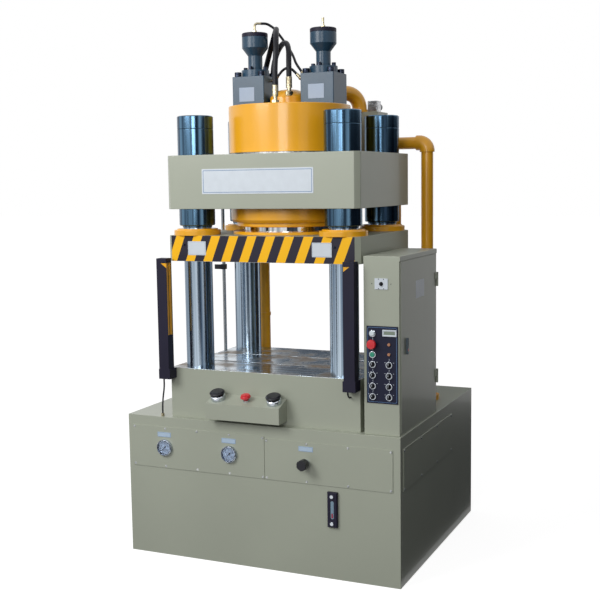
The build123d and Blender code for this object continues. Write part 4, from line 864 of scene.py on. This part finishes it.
def drum(tree, sides, radius, top_radius, depth, lift=0.0):
    """A round or many-sided drum, standing on its end at a height."""
    node = add_node(
        tree, "GeometryNodeMeshCone", Vertices=sides, Radius_Bottom=radius, Radius_Top=top_radius,
        Depth=depth,
    )
    return moved(tree, node.outputs["Mesh"], lift)


def bar(tree, x, y, z):
    """A box from its three sizes."""
    size = add_node(tree, "ShaderNodeCombineXYZ", X=x, Y=y, Z=z)
    return add_node(tree, "GeometryNodeMeshCube", Size=size.outputs[0]).outputs["Mesh"]


def cut(tree, shape, tool):
    """A shape less a tool."""
    node = add_node(tree, "GeometryNodeMeshBoolean", {"operation": "DIFFERENCE"}, Mesh_1=shape, Mesh_2=tool)
    return node.outputs["Mesh"]


print("shapes:", drum.__name__, bar.__name__)

# %% [markdown]
# ### Two kinds of head
# A socket bolt is a round head with a six-sided hole. A cover screw is a low dome with a slot. A dark
# patch could stand for the hole, but it would look painted from the side. The tree cuts the hole out of
# one head, which is cheap, and only then repeats the head.

# %% Trees for socket bolts and cover screws
bolts, bolt_in, bolt_out = new_maker(
    "socket_bolts", Head_Sides="Int", Socket_Radius="Float", Socket_Depth="Float"
)
bolt_head = drum(bolts, bolt_in["Head Sides"], 1.0, 1.0, 1.0)
socket_hole = drum(
    bolts, 6, bolt_in["Socket Radius"], bolt_in["Socket Radius"], bolt_in["Socket Depth"], 0.5
)
repeat_shape(
    bolts, bolt_in["Geometry"], cut(bolts, bolt_head, socket_hole),
    turned_to(bolts, "Z", attribute(bolts, "facing")), attribute(bolts, "size"), bolt_in["Finish"], bolt_out,
)

DOME_H, DOME_TOP, SLOT_LENGTH, SLOT_W = 0.9, 0.66, 2.2, 0.26
screws, screw_in, screw_out = new_maker("cover_screws", Head_Sides="Int", Slot_Depth="Float")
dome = drum(screws, screw_in["Head Sides"], 1.0, DOME_TOP, DOME_H)
slot_cutter = moved(screws, bar(screws, SLOT_LENGTH, SLOT_W, screw_in["Slot Depth"]), DOME_H)
repeat_shape(
    screws, screw_in["Geometry"], cut(screws, dome, slot_cutter),
    turned_to(screws, "Z", attribute(screws, "facing")), attribute(screws, "size"), screw_in["Finish"],
    screw_out,
)
print("trees:", bolts.name, screws.name)

# %% [markdown]
# ### Cover screws
# Slotted screws hold the covers of the base. In the solids they are plain discs. Their places could be
# written down again, but then they might drift from the solids. So each disc gives its own point, and
# its thinnest side tells which way the screw faces.


# %% Cover screws, on the points of the solid screws
def facing_of(low, high):
    """The way a screw head faces and its height: along its thinnest side, away from the press."""
    size = high - low
    axis = min(range(3), key=lambda number: size[number])
    facing = Vector((0, 0, 0))
    facing[axis] = 1 if (low + high)[axis] > 0 else -1
    return facing, size[axis]


screw_spots = []
for low, high in spots_of("cover_screws"):
    facing, height = facing_of(low, high)
    radius = max(high - low) / 2
    screw_spots.append(((low + high) / 2 - facing * height / 2, (radius, radius, height), facing))
screw_mesh = run_tree(
    screws, point_cloud("screw_points", screw_spots), "machined_steel", Head_Sides=14, Slot_Depth=0.9
)
add_piece("cover_screw_heads", soften(screw_mesh, 0), body_of("cover_screws"), node="cover_screws")
print("cover screws:", len(screw_spots))

# %% [markdown]
# ### Socket bolts and grease nipples
# Socket bolts hold the valves and the slide's guide flanges. They stand upright, so a solid that is as
# wide as it is deep is a bolt. What is left in the slide's node are its grease nipples. There are only
# two of them, so they are plain cones, without a tree of their own.

# %% Socket bolts of the valves and of the slide
ROUND_WITHIN = 0.0015


def bolt_heads(node, sides, socket_radius):
    """The round heads of a node as bolts with a socket, and the corners of what isn't a bolt."""
    heads, others = [], []
    for low, high in spots_of(node):
        size = high - low
        if abs(size.x - size.y) < ROUND_WITHIN:
            radius = max(size.x, size.y) / 2
            foot = Vector(((low.x + high.x) / 2, (low.y + high.y) / 2, low.z))
            heads.append((foot, (radius, radius, size.z), Vector((0, 0, 1))))
        else:
            others.append((low, high))
    print(node, "heads:", len(heads))
    mesh = run_tree(
        bolts, point_cloud(node + "_points", heads), "black_steel",
        Head_Sides=sides, Socket_Radius=socket_radius, Socket_Depth=1.1,
    )
    return mesh, others


valve_mesh, _ = bolt_heads("valve_bolts", 32, 0.5)
add_piece("valve_bolt_heads", soften(valve_mesh, 0.0008), body_of("valve_bolts"), node="valve_bolts")
slide_mesh, nipples = bolt_heads("slide_screws", 28, 0.52)

# %% The two grease nipples: a six-sided foot and a round nose
NIPPLE_PARTS, NIPPLE_TAPER = ((1.0, 0.0, 0.55, 6), (0.5, 0.55, 1.0, 16)), 0.86
nipple_work = bmesh.new()
nipple_work.from_mesh(slide_mesh)
turn = Matrix.Rotation(pi / 2, 4, "X")
for low, high in nipples:
    middle, size = (low + high) / 2, high - low
    for radius_share, start_share, end_share, sides in NIPPLE_PARTS:
        radius = size.x / 2 * radius_share
        centre_y = high.y - size.y * (start_share + end_share) / 2
        bmesh.ops.create_cone(
            nipple_work, cap_ends=True, segments=sides, radius1=radius, radius2=radius * NIPPLE_TAPER,
            depth=size.y * (end_share - start_share),
            matrix=Matrix.Translation((middle.x, centre_y, middle.z)) @ turn,
        )
nipple_work.to_mesh(slide_mesh)
nipple_work.free()
add_piece("slide_screw_heads", soften(slide_mesh, 0.0005), body_of("slide_screws"), node="slide_screws")
print("nipples:", len(nipples))

# %% [markdown]
# ## Plates and labels
# The press carries a long plate on the crown, two notices on the slide, a plate on each valve block and
# label strips over the gauges. They could be painted on, but thin sheet with rounded corners catches the
# light at its rim, as the real ones do. Most have a printed border, and all stay bare. A plate is told
# by its place, its outline, its thickness and the number of its finish.


# %% Outlines and the faces they lie on
def rounded_outline(width, height, corner, steps=5):
    """The points of a rectangle with rounded corners, round its middle."""
    points = []
    for number, (side_x, side_y) in enumerate(((1, 1), (-1, 1), (-1, -1), (1, -1))):
        for step in range(steps + 1):
            angle = pi / 2 * (number + step / steps)
            points.append((
                side_x * (width / 2 - corner) + corner * cos(angle),
                side_y * (height / 2 - corner) + corner * sin(angle),
            ))
    return points


def circle(radius, sides=24):
    """The points of a circle round its middle."""
    turns = [2 * pi * step / sides for step in range(sides)]
    return [(radius * cos(turn), radius * sin(turn)) for turn in turns]


def front_face(x, y, z):
    """The frame of a plate on a face that looks forward: its X runs right and its Y up."""
    return Matrix(((1, 0, 0, x), (0, 0, -1, y), (0, 1, 0, z), (0, 0, 0, 1)))


def right_face(x, y, z):
    """The frame of a plate on a face that looks right: its X runs back and its Y up."""
    return Matrix(((0, 0, 1, x), (1, 0, 0, y), (0, 1, 0, z), (0, 0, 0, 1)))


print("points of a rounded outline:", len(rounded_outline(0.1, 0.1, 0.01)))


# %% Plates, and pieces made of them
def flat_plate(work, place, outline, thickness, index=0, hole=None):
    """A plate between an outline and its own copy in front, with a hole where one is given."""
    rings = [
        [[work.verts.new(place @ Vector((x, y, depth))) for x, y in ring] for depth in (0, thickness)]
        for ring in (outline, hole) if ring
    ]
    walls = [*rings, *zip(*rings)] if hole else rings
    faces = [] if hole else [work.faces.new(side) for side in rings[0]]
    for first, second in walls:
        for step in range(len(first)):
            faces.append(work.faces.new((first[step - 1], first[step], second[step], second[step - 1])))
    for face in faces:
        face.material_index = index


def mesh_from(work, name, *names):
    """A mesh from working geometry, with its finishes and its faces turned outwards."""
    bmesh.ops.recalc_face_normals(work, faces=work.faces)
    mesh = bpy.data.meshes.new(name)
    work.to_mesh(mesh)
    work.free()
    for finish in names:
        mesh.materials.append(finishes[finish])
    return mesh


def plate_piece(name, node, plates, *names, slot="gauge_alloy"):
    """A piece of plates that rides with a node: each has a place, outline, sheet and finish number."""
    work = bmesh.new()
    for plate in plates:
        flat_plate(work, *plate)
    add_piece(name, mesh_from(work, name, *names), body_of(node))


PLATE_SHEET, PRINT_SHEET = 0.0012, 0.0002


def label(place, size, corner, border=0.0, inset=0.0, index=0):
    """The plates of a label on a forward face: its sheet, and a printed border if it has one."""
    x, y, z = place
    plates = [(front_face(x, y, z), rounded_outline(*size, corner), PLATE_SHEET, index)]
    if border:
        outer, inner = (
            rounded_outline(size[0] - 2 * edge, size[1] - 2 * edge, corner)
            for edge in (inset, inset + border)
        )
        plates.append((front_face(x, y - PLATE_SHEET, z), outer, PRINT_SHEET, 1, inner))
    return plates


print("sheet of a plate and of print:", PLATE_SHEET, PRINT_SHEET)

# %% Crown plate, block plates and label strips
CROWN_PLATE, CROWN_PLATE_SHIFT, CROWN_PLATE_LIFT = (0.504, 0.1035), -0.009, 0.1135
BLOCK_PLATE, BLOCK_PLATE_LIFT = (0.0715, 0.059), 0.0535
LABEL_H, LABEL_LIFT, LABEL_SHIFT, CASE_W = 0.021, 0.056, -0.003, 0.07
crown_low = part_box("crown")[0]
crown_spot = (middle_of("crown").x + CROWN_PLATE_SHIFT, crown_low.y, crown_low.z + CROWN_PLATE_LIFT)
plates = label(crown_spot, CROWN_PLATE, 0.003, border=0.0022, inset=0.006)
block_low, block_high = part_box("valve_blocks")
half_block = (block_high.y - block_low.y) / 2
for block_x, shift in ((block_low.x + half_block, -0.006), (block_high.x - half_block, -0.0035)):
    block_spot = (block_x + shift, block_low.y, block_low.z + BLOCK_PLATE_LIFT)
    plates += label(block_spot, BLOCK_PLATE, 0.001, index=2)
cover_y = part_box("cover_plates")[0].y
gauge_cases = [pair for pair in spots_of("gauges") if pair[1].x - pair[0].x > CASE_W]
gauge_middles = [(low + high) / 2 for low, high in gauge_cases]
knob_middle = middle_of("pressure_knob")
for middle, width in ((gauge_middles[0], 0.066), (gauge_middles[1], 0.066), (knob_middle, 0.064)):
    label_spot = (middle.x + LABEL_SHIFT, cover_y, middle.z + LABEL_LIFT)
    plates += label(label_spot, (width, LABEL_H), 0.001, border=0.0008, inset=0.0014, index=3)
plate_piece("bare_plates", "crown", plates, "print_white", "print_blue", "print_silver", "print_sky")
print("gauges at:", [round(middle.x, 3) for middle in gauge_middles])

# %% Notices on the slide
NOTICE, NOTICE_LIFT = (0.085, 0.058), 0.0555
plates = []
for notice_x in (-0.2795, 0.2885):
    notice_spot = (notice_x, slide_low.y, slide_low.z + NOTICE_LIFT)
    plates += label(notice_spot, NOTICE, 0.0015, border=0.0006, inset=0.003)
plate_piece("slide_notices", "slide", plates, "print_white", "print_blue")
print("notices:", NOTICE)

# %% [markdown]
# ## Gauges
# A pressure gauge is a chrome cup with a pale dial, a scale round it and a glass. A drawn picture of the
# scale would blur close up, so it is made of small bars. They stand on an arc, so a geometry-node tree
# places them, and more of them are only another number. The numbers are text, made a mesh and then put
# in place.

# %% Tree for the ticks of a dial
SCALE_START, SCALE_SWEEP, TICK_SHEET = radians(225), radians(270), 0.0002
ticks, tick_in, tick_out = new_maker(
    "dial_ticks", Count="Int", Radius="Float", Tick_Length="Float", Tick_Width="Float"
)
tick_arc = add_node(
    ticks, "GeometryNodeCurveArc", Resolution=64, Start_Angle=SCALE_START - SCALE_SWEEP,
    Sweep_Angle=SCALE_SWEEP, Radius=tick_in["Radius"],
)
tick_points = add_node(
    ticks, "GeometryNodeCurveToPoints", Curve=tick_arc.outputs["Curve"], Count=tick_in["Count"]
)
tick_bar = bar(ticks, tick_in["Tick Width"], tick_in["Tick Length"], TICK_SHEET)
repeat_shape(
    ticks, tick_points.outputs["Points"], tick_bar, turned_to(ticks, "X", tick_points.outputs["Tangent"]),
    (1, 1, 1), tick_in["Finish"], tick_out,
)
print("tree:", ticks.name)


# %% Text as a mesh
def printed(text, size, place, thickness=0.0001):
    """A line of print as a mesh, centred on a place in a frame."""
    curve = bpy.data.curves.new("print", "FONT")
    curve.body = text
    curve.size = size
    curve.align_x = "CENTER"
    curve.align_y = "CENTER"
    curve.extrude = thickness
    mesh = plain_mesh(new_object("print", curve))
    mesh.transform(place)
    return mesh


def add_mesh(work, mesh, index):
    """Adds a mesh to working geometry, in one of its finishes."""
    count = len(work.faces)
    work.from_mesh(mesh)
    work.faces.ensure_lookup_table()
    for face in work.faces[count:]:
        face.material_index = index


print("print helpers:", printed.__name__, add_mesh.__name__)

# %% Dials with ticks and numbers
DIAL_R, DIAL_SHEET, PRINT_LIFT, TICK_INSET = 0.0288, 0.0004, 0.0005, 0.002
NUMBER_R, NUMBER_SIZE, NUMBER_STEP = 0.0178, 0.0072, 10
dial_work = bmesh.new()
for middle in gauge_middles:
    flat_plate(dial_work, front_face(middle.x, dial_y, middle.z), circle(DIAL_R, 48), DIAL_SHEET)
    print_place = front_face(middle.x, dial_y - PRINT_LIFT, middle.z)
    for count, length, width in ((41, 0.0022, 0.0004), (9, 0.0042, 0.0008)):
        tick_mesh = run_tree(
            ticks, bpy.data.meshes.new("ticks"), "print_black", Count=count,
            Radius=DIAL_R - TICK_INSET - length / 2, Tick_Length=length, Tick_Width=width,
        )
        tick_mesh.transform(print_place)
        add_mesh(dial_work, tick_mesh, 1)
    for number in range(5):
        angle = SCALE_START - SCALE_SWEEP * number / 4
        spot = print_place @ Matrix.Translation((NUMBER_R * cos(angle), NUMBER_R * sin(angle), 0))
        add_mesh(dial_work, printed(str(number * NUMBER_STEP), NUMBER_SIZE, spot), 1)
add_piece("gauge_dials", mesh_from(dial_work, "dials", "dial_face", "print_black"), body_of("gauges"))
print("dials at y:", round(dial_y, 4))

# %% [markdown]
# ### Oil level
# The level gauge shows the tank's oil by a red float behind its window, beside a scale. A real window
# would need glass over a hollow. Little shows behind this one but the float, so it is a glossy solid face,
# and the float and the scale's lines are thin plates on it.

# %% Oil level: scale lines and a red float in the window
FLOAT_W, FLOAT_H, FLOAT_LIFT, FLOAT_SHEET = 0.008, 0.02, 0.014, 0.0003
MARK_COUNT, MARK_STEP, MARK_START, MARK_SHIFT = 9, 0.0065, 0.012, 0.0045
window_bottom = window_middle.z - WINDOW_H / 2
float_place = front_face(window_middle.x, window_y, window_bottom + FLOAT_LIFT)
plates = [(float_place, rounded_outline(FLOAT_W, FLOAT_H, 0.003), FLOAT_SHEET)]
for step in range(MARK_COUNT):
    mark_z = window_bottom + MARK_START + MARK_STEP * step
    mark_place = front_face(window_middle.x + MARK_SHIFT, window_y, mark_z)
    plates.append((mark_place, rounded_outline(0.004, 0.0006, 0.0002), FLOAT_SHEET, 1))
plate_piece("level_scale", "level_gauge", plates, "float_red", "print_black", slot="red_plastic")
print("level marks:", MARK_COUNT)

# %% [markdown]
# ## Control panel
# The panel is a black sheet with a light border and small white marks: a line over each control, and two
# ticks beside each selector. The marks could be cut in, but they are filled and flush, so they are the
# thinnest of plates. The display is a window in a pale frame.

# %% Panel border, marks and display
BORDER_INSET, BORDER_W = 0.005, 0.0014
MARK_LIFT, MARK_W, MARK_H = 0.0205, 0.0012, 0.009
TICK_SHIFT, TICK_LIFT, TICK_W, TICK_H = 0.0175, 0.009, 0.004, 0.0016
DISPLAY_RIM, DISPLAY_SINK, DISPLAY_SHEET = 0.0065, 0.002, 0.0004
panel_middle, panel_size = (panel_low + panel_high) / 2, panel_high - panel_low
border_outline, border_hole = (
    rounded_outline(panel_size.x - 2 * edge, panel_size.z - 2 * edge, corner)
    for edge, corner in ((BORDER_INSET, 0.006), (BORDER_INSET + BORDER_W, 0.005))
)
border_place = front_face(panel_middle.x, panel_low.y, panel_middle.z)
plates = [(border_place, border_outline, PRINT_SHEET, 1, border_hole)]
for name in (*knob_names, "panel_stop_button", "start_button"):
    middle = middle_of(name)
    marks = [(0, MARK_LIFT, MARK_W, MARK_H)]
    if name in knob_names:
        marks += [(side * TICK_SHIFT, TICK_LIFT, TICK_W, TICK_H) for side in (-1, 1)]
    for shift, lift, width, height in marks:
        place = front_face(middle.x + shift, panel_low.y, middle.z + lift)
        plates.append((place, rounded_outline(width, height, 0.0003), PRINT_SHEET))
display_middle, display_size = (display_low + display_high) / 2, display_high - display_low
display_outline = rounded_outline(
    display_size.x - 2 * DISPLAY_RIM, display_size.z - 2 * DISPLAY_RIM, 0.001
)
display_place = front_face(display_middle.x, display_low.y + DISPLAY_SINK, display_middle.z)
plates.append((display_place, display_outline, DISPLAY_SHEET, 2))
plate_piece("panel_print", "control_panel", plates, "print_white", "print_blue", "display_green")
print("panel size:", [round(value, 3) for value in panel_size])

# %% [markdown]
# ### Pointer lines
# Each selector has a white line on its grip that shows where it points. Painted on the panel's piece it
# would stay behind when the selector turns, so each line is a piece that rides on its own knob.

# %% Pointer lines on the selectors
POINTER_W, POINTER_H, POINTER_SHARE = 0.0014, 0.0075, 0.3
pointer_outline = rounded_outline(POINTER_W, POINTER_H, 0.0004)
for name in knob_names:
    low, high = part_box(name)
    place = front_face((low.x + high.x) / 2, low.y, high.z - (high.z - low.z) * POINTER_SHARE)
    plate_piece(name + "_line", name, [(place, pointer_outline, PRINT_SHEET)], "print_white")
print("pointer lines:", len(knob_names))

# %% [markdown]
# ### Switch plate, door plate and handle
# The main switch has its own small plate, held by four black screws between two more. They are under
# four millimetres wide, so a low disc each is enough, and a tree would be more than they need. A bare
# plate is on the door, whose flat face is found as its largest one, and the handle has a red dot.

# %% Screws of the switch plate
SCREW_R, SCREW_H = 0.0018, 0.0008
SCREW_X, SCREW_Z, SIDE_SCREW_X = 0.0105, 0.0185, 0.039
switch_middle = (switch_low + switch_high) / 2
screw_places = [(side * SIDE_SCREW_X, switch_high.y, 0) for side in (-1, 1)]
screw_places += [(side * SCREW_X, switch_low.y, lift * SCREW_Z) for side in (-1, 1) for lift in (-1, 1)]
plates = []
for shift, y, lift in screw_places:
    place = front_face(switch_middle.x + shift, y, switch_middle.z + lift)
    plates.append((place, circle(SCREW_R), SCREW_H))
plate_piece("switch_screws", "control_panel", plates, "black_steel", slot="blued_steel")
print("switch screws:", len(plates))

# %% Bare plate on the door and red dot on its handle
DOOR_PLATE, DOOR_PLATE_Y, DOOR_PLATE_Z = (0.113, 0.072), -0.2655, 1.173
DOT_LIFT, DOT_INSET, DOT_R, DOT_SHEET = 0.018, 0.0065, 0.0055, 0.0006
door_faces = [face for face in nodes["cabinet_door"].data.polygons if face.normal.x > 0.99]
door_x = max(door_faces, key=lambda face: face.area).center.x
plate_place = right_face(door_x, DOOR_PLATE_Y, DOOR_PLATE_Z)
door_plate = (plate_place, rounded_outline(*DOOR_PLATE, 0.002), PRINT_SHEET)
plate_piece("door_plate", "cabinet_door", [door_plate], "print_white")
handle_low, handle_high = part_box("door_handle")
dot_place = right_face(handle_high.x, handle_high.y - DOT_INSET, handle_low.z + DOT_LIFT)
handle_dot = (dot_place, circle(DOT_R), DOT_SHEET)
plate_piece("handle_dot", "door_handle", [handle_dot], "red_plastic", slot="red_plastic")
print("door at x:", round(door_x, 4))

# %% [markdown]
# ## Floor and light
# The press stands on a plain pale floor, in a pale room. A white floor would throw light up the sides of
# the base, which are in shade in the photograph. So the floor glows for the camera and less for mirrors,
# and is dark for bounced light, and the room is weaker for bounced light too.


# %% Floor
def flat_card(name, corners, finish):
    """A four-cornered card from its corners, which isn't part of the press."""
    mesh = bpy.data.meshes.new(name)
    mesh.from_pydata(corners, [], [(0, 1, 2, 3)])
    mesh.materials.append(finishes[finish])
    card = new_object(name, mesh)
    return card


FLOOR_GLOW, MIRRORED_GLOW, FLOOR_TONE, BOUNCE_TONE = 0.88, 0.6, 0.34, 0.05
FLOOR_REACH = 40
floor_tree, floor_shader = new_material("pale_floor", (1, 1, 1, 1), 0.9, mirror=0.0)
floor_shader.inputs["Emission Color"].default_value = (1, 1, 1, 1)
floor_path = add_node(floor_tree, "ShaderNodeLightPath").outputs
floor_colour = blend_colours(
    floor_tree, floor_path["Is Diffuse Ray"], (FLOOR_TONE,) * 3 + (1,), (BOUNCE_TONE,) * 3 + (1,)
)
feed(floor_tree, floor_shader.inputs["Base Color"], floor_colour)
mirrored = maths(floor_tree, "MULTIPLY", floor_path["Is Glossy Ray"], MIRRORED_GLOW)
glow = maths(floor_tree, "MULTIPLY_ADD", floor_path["Is Camera Ray"], FLOOR_GLOW, mirrored)
feed(floor_tree, floor_shader.inputs["Emission Strength"], glow)
floor_corners = [(x * FLOOR_REACH, y * FLOOR_REACH, 0) for x, y in ((-1, -1), (1, -1), (1, 1), (-1, 1))]
flat_card("floor", floor_corners, "pale_floor")
print("floor reaches to:", FLOOR_REACH)

# %% Surroundings
SKY_FILL = 0.46
world = bpy.data.worlds.new("surroundings")
bpy.context.scene.world = world
world.use_nodes = True
sky = world.node_tree
background = sky.nodes["Background"]
sky_path = add_node(sky, "ShaderNodeLightPath").outputs
direct = maths(sky, "MAXIMUM", sky_path["Is Camera Ray"], sky_path["Is Glossy Ray"])
background.inputs["Color"].default_value = (1, 1, 1, 1)
feed(sky, background.inputs["Strength"], maths(sky, "MULTIPLY_ADD", direct, 1 - SKY_FILL, SKY_FILL))
print("fill from the surroundings:", SKY_FILL)

# %% [markdown]
# ### Lamps and cards
# A broad lamp at the front left gives the fronts their tone, and a weaker one in front fills them in. The
# right sides stay in shade. Polished metal is only as good as what it mirrors. A whole hall could be
# built for it, but five dark and grey cards out of the camera's sight give the columns their streaks.


# %% Lamps and cards
def lamp(name, place, target, size, power):
    """A square soft lamp that faces a target."""
    data = bpy.data.lights.new(name, "AREA")
    data.shape = "SQUARE"
    data.size = size
    data.energy = power
    light = new_object(name, data)
    light.location = place
    light.rotation_euler = (Vector(target) - Vector(place)).to_track_quat("-Z", "Y").to_euler()


def mirror_card(name, corners, finish, shades_too=False):
    """A card that only mirrors show, unless it also shades."""
    card = flat_card(name, corners, finish)
    card.visible_camera = False
    card.visible_diffuse = shades_too
    card.visible_shadow = False


def upright(start, end, top):
    """The corners of an upright card between two points on the floor."""
    return [(*start, 0.01), (*end, 0.01), (*end, top), (*start, top)]


lamp("key_lamp", (-1.4, -3.1, 2.9), (0, -0.4, 1.6), 1.6, 72)
lamp("front_lamp", (0.9, -4.2, 2.3), (0.3, -0.3, 1.4), 1.2, 34)
new_material("dark_card", (0.035, 0.04, 0.055, 1), 0.9)
new_material("mid_card", (0.16, 0.2, 0.26, 1), 0.9)
mirror_card("right_card", upright((2.1, -1.4), (2.1, 2.8), 2.1), "dark_card", shades_too=True)
mirror_card("front_card", upright((1.4, -5.9), (3.7, -4.7), 3.2), "mid_card")
mirror_card("streak_card", upright((-3.1, -4.0), (-2.6, -4.3), 3.6), "dark_card")
mirror_card("back_card", upright((-1.75, 3.3), (0.9, 3.9), 2.3), "mid_card")
low_corners = [(x, y, 0.002) for x, y in ((0.65, -2.5), (5, -2.5), (5, 3), (0.65, 3))]
mirror_card("low_card", low_corners, "dark_card")
bpy.context.scene.view_settings.view_transform = "Standard"
print("lamps:", len(bpy.data.lights))
